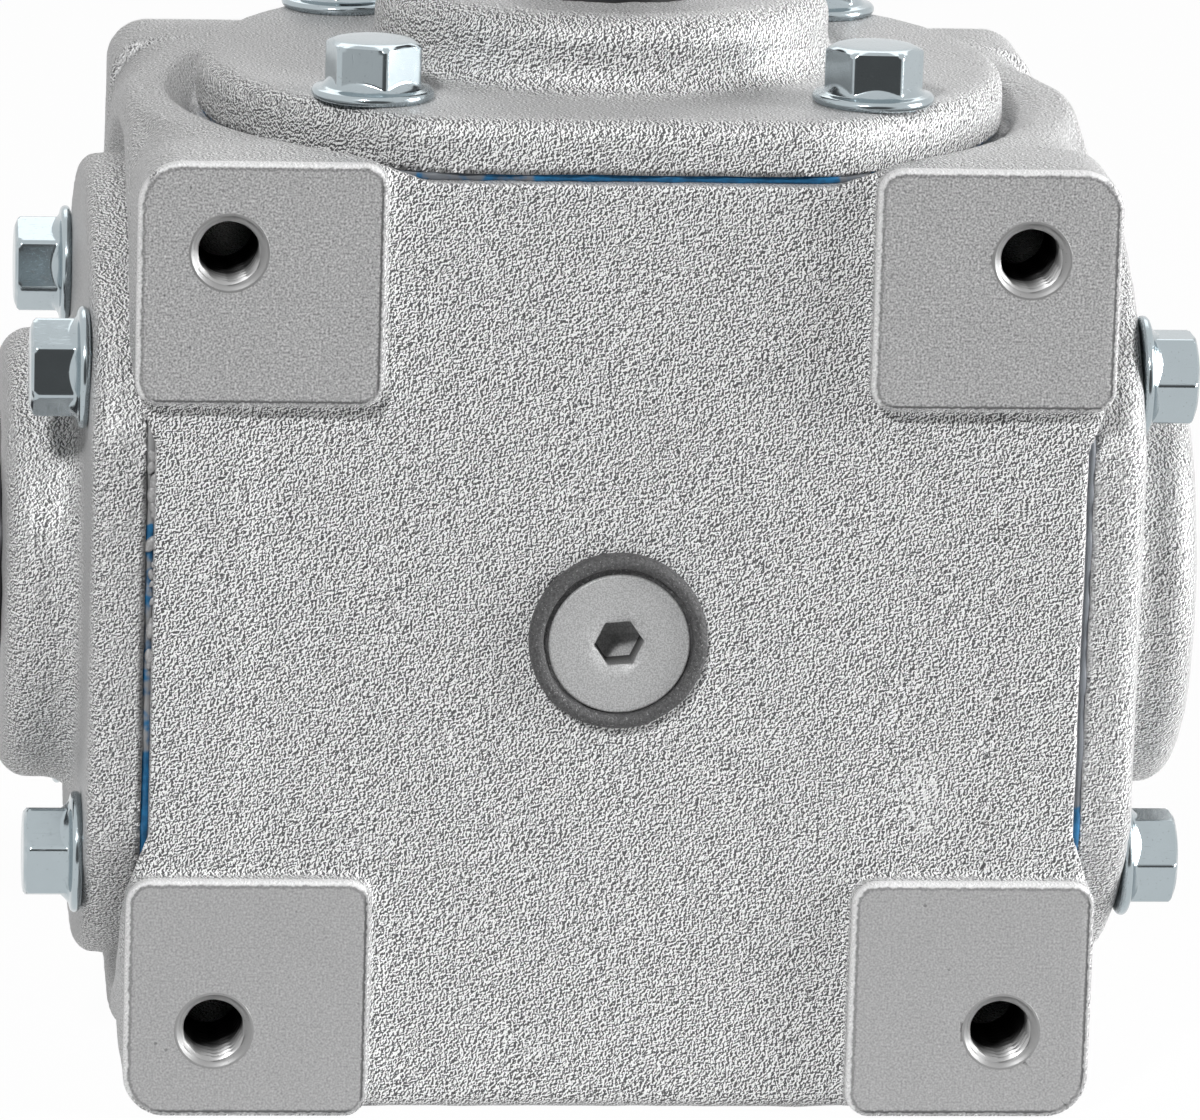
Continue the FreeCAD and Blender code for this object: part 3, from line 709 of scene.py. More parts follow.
class Effect:
    """A shader node group that several finishes share.

    Attributes:
        name: Name of the group.
        takes: Inputs besides the coordinates, as name and first value.
        gives: Output names, all plain values.
    """

    name: str = ""
    takes: tuple[tuple[str, Value], ...] = ()
    gives: tuple[str, ...] = ()

    def tree(self) -> bpy.types.NodeTree:
        """Builds the group once and returns it."""
        known = bpy.data.node_groups.get(self.name)
        if known:
            return known
        tree = bpy.data.node_groups.new(self.name, "ShaderNodeTree")
        for name, value in (("Place", (0.0, 0.0, 0.0)), *self.takes):
            kind = "NodeSocketFloat" if isinstance(value, float) else "NodeSocketVector"
            tree.interface.new_socket(name, in_out="INPUT", socket_type=kind).default_value = value
        for name in self.gives:
            tree.interface.new_socket(name, in_out="OUTPUT", socket_type="NodeSocketFloat")
        graph = Graph(tree)
        graph.add("NodeGroupOutput", self.fill(graph, graph.wires(graph.add("NodeGroupInput"))))
        return tree

    def fill(self, graph: Graph, given: dict[str, Wire]) -> dict[str, Wire]:
        """Adds the group's nodes.

        Args:
            graph: The group.
            given: The group's inputs.

        Returns:
            A value for each output.
        """
        raise NotImplementedError


class CastGrainAndShade(Effect):
    """Paint over a sand casting: grain with painted light and shade, pale on the side of each ridge facing
    the light and dark on the other side, and pits.
    """

    name = "cast_grain"
    takes = (("Way", (0.0, 0.0, 0.0)), ("Grain", 1.0), ("Fine", 0.42))
    gives = ("Height", "Tone", "Pits")
    reach = 0.13 * MM
    slope_gain, plain_gain = 8.6, 2.6
    coarse_rise, fine_rise, slow_rise, pit_depth = 0.1, 0.01, 0.3, 0.08

    def fill(self, graph: Graph, given: dict[str, Wire]) -> dict[str, Wire]:
        """Adds the group's nodes; see Effect."""
        place, grain = given["Place"], given["Grain"]
        ahead = graph.vector("ADD", place, graph.vector("MULTIPLY", given["Way"], (self.reach,) * 3))
        here, there = (graph.noise(spot, 0.37, 0.3, 0.5, 0.6) for spot in (place, ahead))
        patch = graph.noise(place, 1.5, 1.0).span(0.3, 0.7, 0.6, 1.45)
        # Painted light and shade: the grain's slope along the light's direction paints lit and shaded sides;
        # the plain part makes ridges paler and hollows darker
        grain_and_relief_shade = ((here - there) * self.slope_gain + (here - 0.5) * self.plain_gain) * patch * grain
        fine = graph.noise(place, 0.3, 0.5, 0.5, 0.3) - 0.5
        slow = graph.noise(place, 9.0)
        pits = graph.cells(place, 2.6).span(0.14, 0.05) * graph.noise(place, 3.1, 1.0).span(0.58, 0.63)
        height = (here - 0.5) * grain * self.coarse_rise + fine * self.fine_rise
        height = height + slow * self.slow_rise - pits * self.pit_depth
        tone = graph.math("ADD", grain_and_relief_shade + fine * given["Fine"], 0.5, True)
        return {"Height": height, "Tone": tone, "Pits": pits}


class PadOutline(Effect):
    """Where the machined pad faces are, with a painted highlight band on the edges facing the upper left and
    a dark line inside, painted darker as shade on the right and bottom edges.
    """

    name = "pad_outline"
    takes = (
        ("Middle", (HousingCasting.half - HousingCasting.pad_side / 2.0) * MM),
        ("Half", HousingCasting.pad_side / 2.0 * MM),
        ("Round", HousingCasting.pad_round * MM),
        ("Outer Round", HousingCasting.pad_outer_round * MM),
        ("Face", HousingCasting.pad_face * MM),
    )
    gives = ("Pad", "Pale", "Dark")
    lit_from, shade_from = 15.4 * MM, 15.8 * MM

    def fill(self, graph: Graph, given: dict[str, Wire]) -> dict[str, Wire]:
        """Adds the group's nodes; see Effect."""
        x, y, z = graph.split(graph.vector("SUBTRACT", given["Place"], (0.0, 0.0, AXIS_HEIGHT * MM)))
        folded = [abs(v) - given["Middle"] for v in (x, z)]
        right, up = (f * graph.math("SIGN", v) for f, v in zip(folded, (x, z)))
        outer = graph.math("GREATER_THAN", folded[0]) * graph.math("GREATER_THAN", folded[1])
        rounding = given["Round"] + (given["Outer Round"] - given["Round"]) * outer
        inner = given["Half"] - rounding
        over = [(abs(f) - inner).most(0.0) for f in folded]
        reach = graph.vector("LENGTH", graph.get("ShaderNodeCombineXYZ", dict(enumerate(over))), out="Value")
        wander = (graph.noise(given["Place"], 0.9, 3.0, 0.6) - 0.5) * (0.8 * MM)
        edge = reach - rounding + wander
        depth = given["Face"] - abs(y)
        pad = edge.span(-0.3 * MM, -0.5 * MM) * depth.span(0.5 * MM, 0.25 * MM)
        near = depth.span(1.6 * MM, 1.0 * MM)
        # Painted light: the upper and left edges get a painted highlight band, and the dark line is painted
        # darker as shade on the right and bottom edges
        lit = (up.most(right * -1.0) - self.lit_from).span(0.0, 0.6 * MM)
        shade = (right.most(up * -1.0) - self.shade_from).span(0.0, 0.4 * MM) * (1.0 - lit)
        pale = edge.span(-0.75 * MM, -0.45 * MM) * lit * near
        line = edge.span(-1.15 * MM, -0.95 * MM) * edge.span(-0.6 * MM, -0.75 * MM)
        return {"Pad": pad, "Pale": pale, "Dark": line * (shade * 0.55 + 0.45) * near}


class Scar(Effect):
    """A small patch of pale scuffs in the paint of the front face."""

    name = "scar"
    takes = (("Centre", (43.0 * MM, -HousingCasting.face * MM, (AXIS_HEIGHT - 22.0) * MM)),)
    gives = ("Mask",)

    def fill(self, graph: Graph, given: dict[str, Wire]) -> dict[str, Wire]:
        """Adds the group's nodes; see Effect."""
        off = graph.vector("SUBTRACT", given["Place"], given["Centre"])
        near = graph.vector("LENGTH", graph.vector("MULTIPLY", off, (1.5, 1.0, 0.8)), out="Value")
        drawn = graph.stretched(given["Place"], (0.0, 0.7, 0.0), (2.2, 1.0, 0.8))
        torn = graph.noise(drawn, 1.5, 2.0, 0.6).span(0.53, 0.59)
        return {"Mask": torn * near.span(6.5 * MM, 2.0 * MM)}


class Wear(Effect):
    """Fine scratches and specks for machined and plated surfaces."""

    name = "wear"
    gives = ("Scratches", "Specks", "Cloud")

    def fill(self, graph: Graph, given: dict[str, Wire]) -> dict[str, Wire]:
        """Adds the group's nodes; see Effect."""
        place = given["Place"]
        drawn = graph.stretched(place, (0.4, 0.9, 0.3), (1.0, 14.0, 1.0))
        return {
            "Scratches": graph.noise(drawn, 2.2, 2.0, 0.6, 0.3).span(0.62, 0.72),
            "Specks": graph.cells(place, 0.8).span(0.16, 0.08),
            "Cloud": graph.noise(place, 4.0, 3.0, 0.55),
        }


def rgba(colour: Colour, gain: float = 1.0) -> tuple[float, float, float, float]:
    """Brightens or darkens a colour and adds full opacity."""
    red, green, blue = (min(1.0, part * gain) for part in colour)
    return red, green, blue, 1.0


@dataclass(frozen=True)
class Finish:
    """A surface finish.

    Attributes:
        name: Name of the material.
        slot: The record's slot it stands for.
        colour: Base colour.
        metallic: Share of metal.
        roughness: Base roughness.
    """

    name: str
    slot: Slot
    colour: Colour
    metallic: float
    roughness: float

    def material(self) -> bpy.types.Material:
        """Builds the material once and returns it."""
        label = "look_" + self.name
        known = bpy.data.materials.get(label)
        if known:
            return known
        made = bpy.data.materials.new(label)
        graph = Graph.fresh(made)
        colour, rough, height = self.look(graph)
        shader = graph.get("ShaderNodeBsdfPrincipled", {
            "Metallic": self.metallic,
            "Base Color": colour,
            "Roughness": rough,
            "Normal": graph.bump(height),
        })
        graph.add("ShaderNodeOutputMaterial", {"Surface": shader})
        return made

    def look(self, graph: Graph) -> tuple[Wire, Value, Wire]:
        """Adds the finish's own detail.

        Args:
            graph: The material's nodes.

        Returns:
            Colour, roughness and the height of the relief in millimetres.
        """
        raise NotImplementedError


@dataclass(frozen=True)
class CastPaint(Finish):
    """Silver paint over a rough casting.

    Attributes:
        dark: Colour of the grain's hollows and of its painted shaded sides.
        light: Colour of its ridges and of its painted lit sides.
        fine: Contrast of the finest grain.
        pads: True where the machined pads show.
    """

    dark: Colour = (0.07, 0.07, 0.072)
    light: Colour = (1.0, 1.0, 1.0)
    fine: float = 0.42
    pads: bool = False
    pit_share: ClassVar[float] = 0.4
    pad_tone: ClassVar[float] = 0.8
    painted_highlight_share: ClassVar[float] = 0.6
    line_and_shade_share: ClassVar[float] = 0.9
    scar_share: ClassVar[float] = 0.75

    def look(self, graph: Graph) -> tuple[Wire, Value, Wire]:
        """Adds grain, pits and pad lines; see Finish."""
        place = graph.place()
        grain = graph.mark("grain")
        rough: Value = self.roughness
        fine: Value = self.fine
        pads: dict[str, Wire] = {}
        if self.pads:
            pads = graph.effect(PadOutline, Place=place)
            grain = grain * graph.math("SUBTRACT", 1.0, pads["Pad"], True)
            rough = pads["Pad"] * 0.1 + self.roughness
            more = graph.split(place)[2].span(40.0 * MM, 95.0 * MM, 0.1, 0.65)
            fine = pads["Pad"] * more + self.fine
        # The grain's tone holds painted light and shade, from the light's direction kept on the vertices
        cast = graph.effect(CastGrainAndShade, Place=place, Way=graph.mark("way", "Vector"), Grain=grain, Fine=fine)
        dark, light = rgba(self.dark), rgba(self.light)
        colour = graph.ramp(cast["Tone"], ((0.0, dark), (0.5, rgba(self.colour)), (1.0, light)))
        colour = graph.mix(cast["Pits"] * self.pit_share, colour, dark)
        if pads:
            duller = graph.vector("MULTIPLY", colour, (self.pad_tone,) * 3)
            scar = graph.effect(Scar, Place=place)["Mask"]
            colour = graph.mix(pads["Pad"], colour, duller)
            # Painted highlight on the lit pad edges, then the dark line with its painted shade
            colour = graph.mix(pads["Pale"] * self.painted_highlight_share, colour, light)
            colour = graph.mix(pads["Dark"] * self.line_and_shade_share, colour, dark)
            colour = graph.mix(scar * self.scar_share, colour, light)
        return colour, rough, cast["Height"]


@dataclass(frozen=True)
class Plated(Finish):
    """Bright plated or ground metal with faint wear.

    Attributes:
        grain: Contrast of a fine grain in the colour.
    """

    grain: float = 0.0
    cloud_gain: ClassVar[float] = 1.12
    speck_gain: ClassVar[float] = 0.5
    speck_share: ClassVar[float] = 0.35
    scratch_depth: ClassVar[float] = 0.004

    def look(self, graph: Graph) -> tuple[Wire, Value, Wire]:
        """Adds scratches, specks and clouding; see Finish."""
        place = graph.place()
        wear = graph.effect(Wear, Place=place)
        colour = graph.mix(wear["Cloud"], rgba(self.colour), rgba(self.colour, self.cloud_gain))
        colour = graph.mix(wear["Specks"] * self.speck_share, colour, rgba(self.colour, self.speck_gain))
        if self.grain:
            spots = graph.noise(place, 0.22, 0.5, 0.5, 0.3)
            tone = spots.span(0.3, 0.7, 1.0 - self.grain, 1.0 + self.grain)
            level = graph.get("ShaderNodeCombineXYZ", {0: tone, 1: tone, 2: tone})
            colour = graph.vector("MULTIPLY", colour, level)
        rough = wear["Cloud"] * 0.1 + (self.roughness - 0.05) + wear["Scratches"] * 0.1
        return colour, rough, wear["Scratches"] * -self.scratch_depth


@dataclass(frozen=True)
class Sunk(Plated):
    """Plated or painted metal with painted shade that darkens it with the depth marked on its vertices.

    Attributes:
        deep: Colour of the painted shade at the bottom.
    """

    deep: Colour = (0.008, 0.008, 0.008)

    def look(self, graph: Graph) -> tuple[Wire, Value, Wire]:
        """Adds wear and depth; see Finish."""
        colour, rough, height = super().look(graph)
        # Painted shade: the colour darkens towards the bottom by the depth marked on the vertices
        depth = graph.mark("deep")
        return graph.mix(depth, colour, rgba(self.deep)), rough + depth * 0.2, height


@dataclass(frozen=True)
class Machined(Finish):
    """Turned steel with fine rings along one axis and faint clouding.

    Attributes:
        axis: Number of the axis it was turned about.
        pitch: Distance between the tool marks.
    """

    axis: int = 2
    pitch: float = 0.35
    wander: ClassVar[float] = 0.15
    cloud_gain: ClassVar[float] = 1.5
    ring_rise: ClassVar[float] = 0.004
    scratch_depth: ClassVar[float] = 0.006

    def look(self, graph: Graph) -> tuple[Wire, Value, Wire]:
        """Adds tool marks and wear; see Finish."""
        place = graph.place()
        wear = graph.effect(Wear, Place=place)
        along = graph.split(place)[self.axis] + graph.noise(place, 5.0) * (self.wander * MM)
        rings = graph.math("SINE", along * (2.0 * math.pi / (self.pitch * MM)))
        colour = graph.mix(wear["Cloud"], rgba(self.colour), rgba(self.colour, self.cloud_gain))
        rough = (wear["Cloud"] - 0.5) * 0.2 + self.roughness
        return colour, rough, rings * self.ring_rise - wear["Scratches"] * self.scratch_depth


@dataclass(frozen=True)
class Moulded(Finish):
    """Rubber or cured sealant with a fine skin.

    Attributes:
        skin: Size of the skin's grain.
        relief: Height of the grain.
        dust: Share of pale specks.
    """

    skin: float = 0.6
    relief: float = 0.05
    dust: float = 0.2
    hollow_gain: ClassVar[float] = 0.45

    def skinned(self, graph: Graph, place: Wire) -> tuple[Wire, Wire]:
        """The grain of the skin, and the colour darkened in its hollows."""
        grain = graph.noise(place, self.skin, 3.0, 0.6, 0.2)
        dark, pale = rgba(self.colour, self.hollow_gain), rgba(self.colour)
        return grain, graph.mix(grain.span(0.35, 0.65), dark, pale)

    def look(self, graph: Graph) -> tuple[Wire, Value, Wire]:
        """Adds skin and dust; see Finish."""
        place = graph.place()
        grain, colour = self.skinned(graph, place)
        specks = graph.noise(place, self.skin * 0.7, 2.0, 0.6).span(0.6, 0.72) * self.dust
        pale = rgba(tuple(part * 0.6 + 0.3 for part in self.colour))
        rough = grain * 0.16 + (self.roughness - 0.08)
        return graph.mix(specks, colour, pale), rough, grain * self.relief


@dataclass(frozen=True)
class Bead(Moulded):
    """Sealant that is partly covered by the box's paint, as marked on its vertices.

    Attributes:
        over: Colour of the paint over it.
    """

    over: Colour = (0.17, 0.185, 0.205)
    hollow_gain: ClassVar[float] = 0.6

    def look(self, graph: Graph) -> tuple[Wire, Value, Wire]:
        """Adds sealant, overspray and skin; see Finish."""
        place = graph.place()
        grain, blue = self.skinned(graph, place)
        edge = (graph.noise(place, 2.5, 3.0) - 0.5) * 0.8
        covered = (graph.mark("paint") + edge).span(0.42, 0.58)
        rough = covered * 0.1 + self.roughness
        return graph.mix(covered, blue, rgba(self.over)), rough, grain * self.relief


PAINT = CastPaint("silver_paint", Slot.PAINT, (0.5, 0.5, 0.503), 0.1, 0.5)
BOX_PAINT = replace(PAINT, name="silver_paint_box", pads=True)
ZINC = Plated("zinc_plate", Slot.ZINC, (0.4, 0.455, 0.48), 1.0, 0.15)
SEALANT = Bead("blue_sealant", Slot.SEALANT, (0.012, 0.16, 0.36), 0.0, 0.38, 1.2, 0.08)
PALE_SEALANT = replace(SEALANT, name="blue_sealant_pale", over=(0.3, 0.303, 0.306))
LUMP = replace(PAINT, name="silver_paint_lumps", colour=(0.36, 0.36, 0.362))
SEAL = Moulded("seal_rubber", Slot.SEAL, (0.018, 0.018, 0.019), 0.0, 0.5)
PLUG = Sunk("plug_steel", Slot.PLUG, (0.44, 0.443, 0.445), 0.1, 0.45, 0.22)
RING = Moulded("ring_rubber", Slot.RING, (0.1, 0.1, 0.102), 0.0, 0.5, 0.4, 0.3, 0.85)
SHAFT = Machined("dark_steel", Slot.SHAFT, (0.03, 0.03, 0.032), 0.9, 0.38, 0)
SHAFT_UP = replace(SHAFT, name="dark_steel_up", axis=2)
THREAD = Sunk("thread_steel", Slot.PAINT, (0.45, 0.45, 0.45), 0.5, 0.35)
GEAR = Plated("gear_steel", Slot.GEAR, (0.34, 0.34, 0.35), 1.0, 0.35)
BEARING = Plated("bearing_steel", Slot.BEARING, (0.62, 0.63, 0.65), 1.0, 0.18)
CAGE = Plated("cage_brass", Slot.CAGE, (0.6, 0.42, 0.16), 1.0, 0.35)
SPRING = Plated("spring_steel", Slot.SPRING, (0.12, 0.12, 0.13), 0.9, 0.4)


def dress(piece: bpy.types.Object, finish: Finish, body: str, nodes: Sequence[str] = ()) -> None:
    """Gives a piece its finish, body and the CAD nodes it stands for.

    Args:
        piece: The object.
        finish: Its finish.
        body: CAD body it moves with.
        nodes: CAD nodes it stands for.
    """
    if not piece.data.materials:
        piece.data.materials.append(finish.material())
    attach(piece, body)
    if nodes:
        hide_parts(*nodes)
    LOG.info("%s: %d vertices, %d faces", piece.name, len(piece.data.vertices), len(piece.data.polygons))


# What repeats


@dataclass
class Repeat:
    """Places copies of one shape by geometry nodes and turns the result into a plain mesh.

    Attributes:
        name: Name of the piece.
        shape: The shape, about its own Z.
        finish: Its finish.
        places: Where each copy goes, in millimetres.
        turns: Rotation of each copy.
        sizes: Size of each copy, or nothing for all alike.
        scatter: Greatest change of size, as a share.
        seed: Seed of the change.
    """

    name: str
    shape: Shell
    finish: Finish
    places: Sequence[Sequence[float]]
    turns: Sequence[np.ndarray]
    sizes: Sequence[float] = ()
    scatter: float = 0.0
    seed: int = 7

    def tree(self) -> tuple[bpy.types.NodeTree, dict[str, str]]:
        """Builds the node tree.

        Returns:
            The tree and the identifier of each named input.
        """
        tree = bpy.data.node_groups.new(self.name + "_nodes", "GeometryNodeTree")
        face = tree.interface
        face.new_socket("Geometry", in_out="INPUT", socket_type="NodeSocketGeometry")
        keys = {}
        kinds = {"Shape": "Object", "Finish": "Material", "Scatter": "Float", "Seed": "Int"}
        for name, kind in kinds.items():
            keys[name] = face.new_socket(name, in_out="INPUT", socket_type="NodeSocket" + kind).identifier
        face.new_socket("Geometry", in_out="OUTPUT", socket_type="NodeSocketGeometry")
        graph = Graph(tree)
        given = graph.wires(graph.add("NodeGroupInput"))
        source = {"Object": given["Shape"]}
        shape = graph.get("GeometryNodeObjectInfo", source, "Geometry", transform_space="ORIGINAL")
        aim, size = (
            graph.get("GeometryNodeInputNamedAttribute", {"Name": name}, data_type=kind)
            for name, kind in (("aim", "FLOAT_VECTOR"), ("size", "FLOAT"))
        )
        limits = {"Seed": given["Seed"], 2: 1.0 - given["Scatter"], 3: given["Scatter"] + 1.0}
        chance = graph.get("FunctionNodeRandomValue", limits, 1, data_type="FLOAT")
        copies = graph.get("GeometryNodeInstanceOnPoints", {
            "Points": graph.get("GeometryNodeMeshToPoints", {"Mesh": given["Geometry"]}),
            "Instance": shape,
            "Rotation": aim,
            "Scale": chance * size,
        })
        whole = graph.get("GeometryNodeRealizeInstances", {0: copies})
        painted = graph.get("GeometryNodeSetMaterial", {"Geometry": whole, "Material": given["Finish"]})
        graph.add("NodeGroupOutput", {0: painted})
        return tree, keys

    def piece(self) -> bpy.types.Object:
        """Places the copies.

        Returns:
            The plain object.
        """
        source = bpy.data.objects.new(self.name + "_shape", self.shape.mesh(self.name + "_shape", lift=0.0))
        dots = bpy.data.meshes.new(self.name)
        places = (np.array(self.places) + (0.0, 0.0, AXIS_HEIGHT)) * MM
        dots.from_pydata(places.tolist(), [], [])
        store(dots, "aim", np.array([Matrix(t.tolist()).to_euler() for t in self.turns]))
        store(dots, "size", np.array(self.sizes) if self.sizes else np.ones(len(places)))
        made = put(self.name, dots)
        tree, keys = self.tree()
        modifier = made.modifiers.new("copies", "NODES")
        modifier.node_group = tree
        values = {"Shape": source, "Finish": self.finish.material()}
        values.update(Scatter=self.scatter, Seed=self.seed)
        for key, value in values.items():
            modifier[keys[key]] = value
        bpy.context.view_layer.update()
        solid = bpy.data.meshes.new_from_object(made.evaluated_get(bpy.context.evaluated_depsgraph_get()))
        made.modifiers.remove(modifier)
        made.data = solid
        bpy.data.meshes.remove(dots)
        bpy.data.objects.remove(source)
        return made


# Sub-assemblies


@dataclass
class FlangeScrew:
    """A hexagon screw head with a rolled flange, standing on Z = 0."""

    across: float = 12.0
    corner: float = 0.985
    height: float = 8.0
    flange_r: float = 8.5
    rim: float = 1.5
    body_low: float = 3.1
    chamfer: float = 0.35
    chamfer_slope: float = 0.42
    dome: tuple[tuple[float, float], ...] = (
        (0.96, 0.05), (0.9, 0.12), (0.8, 0.16), (0.6, 0.2), (0.3, 0.22), (0.0, 0.22),
    )
    steps: int = 144

    def shape(self) -> Shell:
        """Sweeps the head.

        Returns:
            The closed head.
        """
        flat = hexagon(self.across, full_turn(self.steps), 0.0, self.corner)
        half = self.rim / 2.0
        rings: Rings = [(0.0, 0.0), (self.flange_r - 0.6, 0.0)]
        rings += arc(half, (self.flange_r - half, half), -80.0, 75.0, 9)
        neck = self.flange_r - half - 0.35
        foot = self.across / 2.0 - 0.1
        for share in np.arange(9) / 8.0:
            cone = neck + (foot - neck) * share
            rings.append((np.maximum(flat, cone), self.rim + 0.1 + 1.35 * share ** 1.4))
        top_r = self.across / 2.0 - self.chamfer
        for share in np.arange(15) / 14.0:
            z = self.body_low + (self.height - self.body_low) * share
            rings.append((np.minimum(flat, top_r + (self.height - z) / self.chamfer_slope), z))
        rings += [(top_r * share, self.height + rise) for share, rise in self.dome]
        return lathe(rings, self.steps)


@dataclass
class CoverSet:
    """One cover with its screws and the bead of sealant under it.

    Attributes:
        side: Where it sits.
        head_turns: Turn of each screw head in degrees.
        paint: Share of the bead under the box's paint, at angles from -Y along the flat.
        bead_out: How far the bead stands back from the flange's edge.
        grain: Strength of the casting's grain.
        lumps: Height along the front seam and size of each lump of paint on it.
    """

    side: Side
    head_turns: tuple[float, float, float, float]
    paint: tuple[tuple[float, float], ...]
    bead_out: float
    grain: float = 1.0
    lumps: tuple[tuple[float, float], ...] = ()
    circle_r: float = 49.0
    flange_top: float = CoverCasting.flange_top
    seat: float = HousingCasting.seat
    bead_top: float = 65.55
    bead_in: float = 44.0
    bead_r: float = CoverCasting.flange_r
    bead_flat: float = CoverCasting.flat
    bead_back: float = 0.15
    bead_bulge: float = 0.45
    bead_lip: float = 2.0
    bead_steps: int = 720
    drop_steps: int = 20

    def build(self, casting: Shell) -> None:
        """Makes the set's pieces.

        Args:
            casting: The cover's surface about its own Z.
        """
        label = self.side.label
        marks = {"grain": casting.marks["grain"] * self.grain}
        cover = replace(casting, marks=marks).turned(self.side.turn).piece(label + "_cover_casting")
        dress(cover, PAINT, "case", [label + "_cover"])
        self.screws()
        self.bead()
        if self.lumps:
            self.drops()

    def screws(self) -> None:
        """Places the four screw heads."""
        label = self.side.label
        spots = on_circle(np.radians((45.0, 135.0, 225.0, 315.0)), self.circle_r)
        places = [self.side.turn @ (spot + (0.0, 0.0, self.flange_top)) for spot in spots]
        turns = [self.side.turn @ rotation(turn, "Z") for turn in self.head_turns]
        heads = Repeat(label + "_screw_heads", FlangeScrew().shape(), ZINC, places, turns).piece()
        dress(heads, ZINC, "case", [label + "_cover_screws"])

    def bead(self) -> None:
        """Sweeps the bead of sealant that shows round the flange."""
        angles = full_turn(self.bead_steps)
        flat = self.bead_flat / np.maximum(np.abs(np.sin(angles)), 1e-6)
        edge = np.minimum(self.bead_r, flat) - self.bead_out
        spots = on_circle(angles, 50.0)
        wave = 0.22 * ripples(spots, 9.0, 11) + 0.12 * ripples(spots, 3.0, 12)
        out = edge - self.bead_back + np.clip(wave, -0.5, 0.55)
        middle = (self.seat + self.bead_top) / 2.0
        half = (self.bead_top - self.seat) / 2.0
        lip = edge - self.bead_lip
        rings: Rings = [(self.bead_in, middle - half), (lip, middle - half)]
        for a in np.radians(np.linspace(-75.0, 75.0, 7)):
            rings.append((out - self.bead_bulge + self.bead_bulge * math.cos(a), middle + half * math.sin(a)))
        rings += [(lip, middle + half), (self.bead_in, middle + half)]
        shell = lathe(rings, self.bead_steps, loop=True)
        share = np.interp((np.degrees(angles) + 270.0) % 360.0 - 180.0, *np.array(self.paint).T)
        shell.marks["paint"] = np.tile(share, len(rings))
        piece = shell.turned(self.side.turn).piece(self.side.label + "_sealant")
        dress(piece, PALE_SEALANT if self.lumps else SEALANT, "case", [self.side.label + "_gasket"])

    def drops(self) -> None:
        """Places lumps of paint along the front seam."""
        wave = 1.0 + 0.1 * ripples(on_circle(full_turn(self.drop_steps), 1.0), 1.6, 31)
        rings: Rings = [(0.0, -0.5)]
        rings += [(math.cos(a) * wave, math.sin(a) * 0.55) for a in np.radians(np.linspace(-60.0, 80.0, 8))]
        shape = lathe(rings + [(0.0, 0.56)], self.drop_steps)
        shape = replace(shape, points=shape.points * (0.8, 1.35, 1.0))
        rng = np.random.default_rng(17)
        out = self.seat + rng.uniform(-0.1, 0.5, len(self.lumps))
        front = -(self.bead_flat - self.bead_out) - 0.05
        places = [(o * self.side.turn[0, 2], front, along) for o, (along, _) in zip(out, self.lumps)]
        tilts = np.degrees(rng.uniform(-0.5, 0.5, len(self.lumps)))
        turns = [rotation(90.0, "X") @ rotation(tilt, "Z") for tilt in tilts]
        sizes = [size for _, size in self.lumps]
        name = self.side.label + "_seam_lumps"
        dress(Repeat(name, shape, LUMP, places, turns, sizes, 0.2).piece(), LUMP, "case")


@dataclass
class Housing:
    """The box with the threads in its mounting holes."""

    hole_at: float = HousingCasting.hole_at
    face: float = HousingCasting.pad_face
    thread_in: float = 4.2
    thread_out: float = 5.0
    sleeve_r: float = 5.6
    pitch: float = 1.5
    pitch_rings: int = 10
    depth: float = 19.5
    steps: int = 60

    def build(self) -> None:
        """Makes the box and its threads."""
        box = HousingCasting().shell().piece("housing_casting")
        dress(box, BOX_PAINT, "case", ["housing"])
        spots = [(x, y, z) for y in (-1, 1) for x in (-1, 1) for z in (-1, 1)]
        places = [(x * self.hole_at, y * self.face, z * self.hole_at) for x, y, z in spots]
        turns = [rotation(-90.0 * y, "X") for _, y, _ in spots]
        threads = Repeat("pad_threads", self.thread(), THREAD, places, turns).piece()
        dress(threads, THREAD, "case")

    def thread(self) -> Shell:
        """Sweeps one threaded sleeve, mouth at Z = 0 and running down.

        Returns:
            The closed sleeve.
        """
        angles = full_turn(self.steps)
        rings: Rings = [(self.sleeve_r, -self.depth), (self.sleeve_r, -0.06), (self.sleeve_r - 0.1, 0.03)]
        rings += [(self.thread_out + 0.22, 0.03), (self.thread_out + 0.06, -0.1)]
        count = int((self.depth - 0.2) / self.pitch * self.pitch_rings)
        for k in range(1, count):
            z = -0.1 - self.pitch * k / self.pitch_rings
            phase = (z / self.pitch + angles / (2.0 * math.pi)) % 1.0
            tooth = ramp(np.abs(phase - 0.5), 0.06, 0.36)
            r = self.thread_in + (self.thread_out - self.thread_in) * tooth
            mouth = self.thread_out + 0.1 + z
            rings.append((np.maximum(r, mouth), z))
        rings.append((self.thread_out, -self.depth))
        sleeve = lathe(rings[::-1], self.steps, loop=True)
        # Painted shade in the hole: darker with depth, with some shade on the mouth ring
        down = -sleeve.points[:, 2]
        sleeve.marks["deep"] = np.where(down < 0.9, 0.35, np.clip((down - 2.2) / 5.5, 0.1, 1.0))
        return sleeve


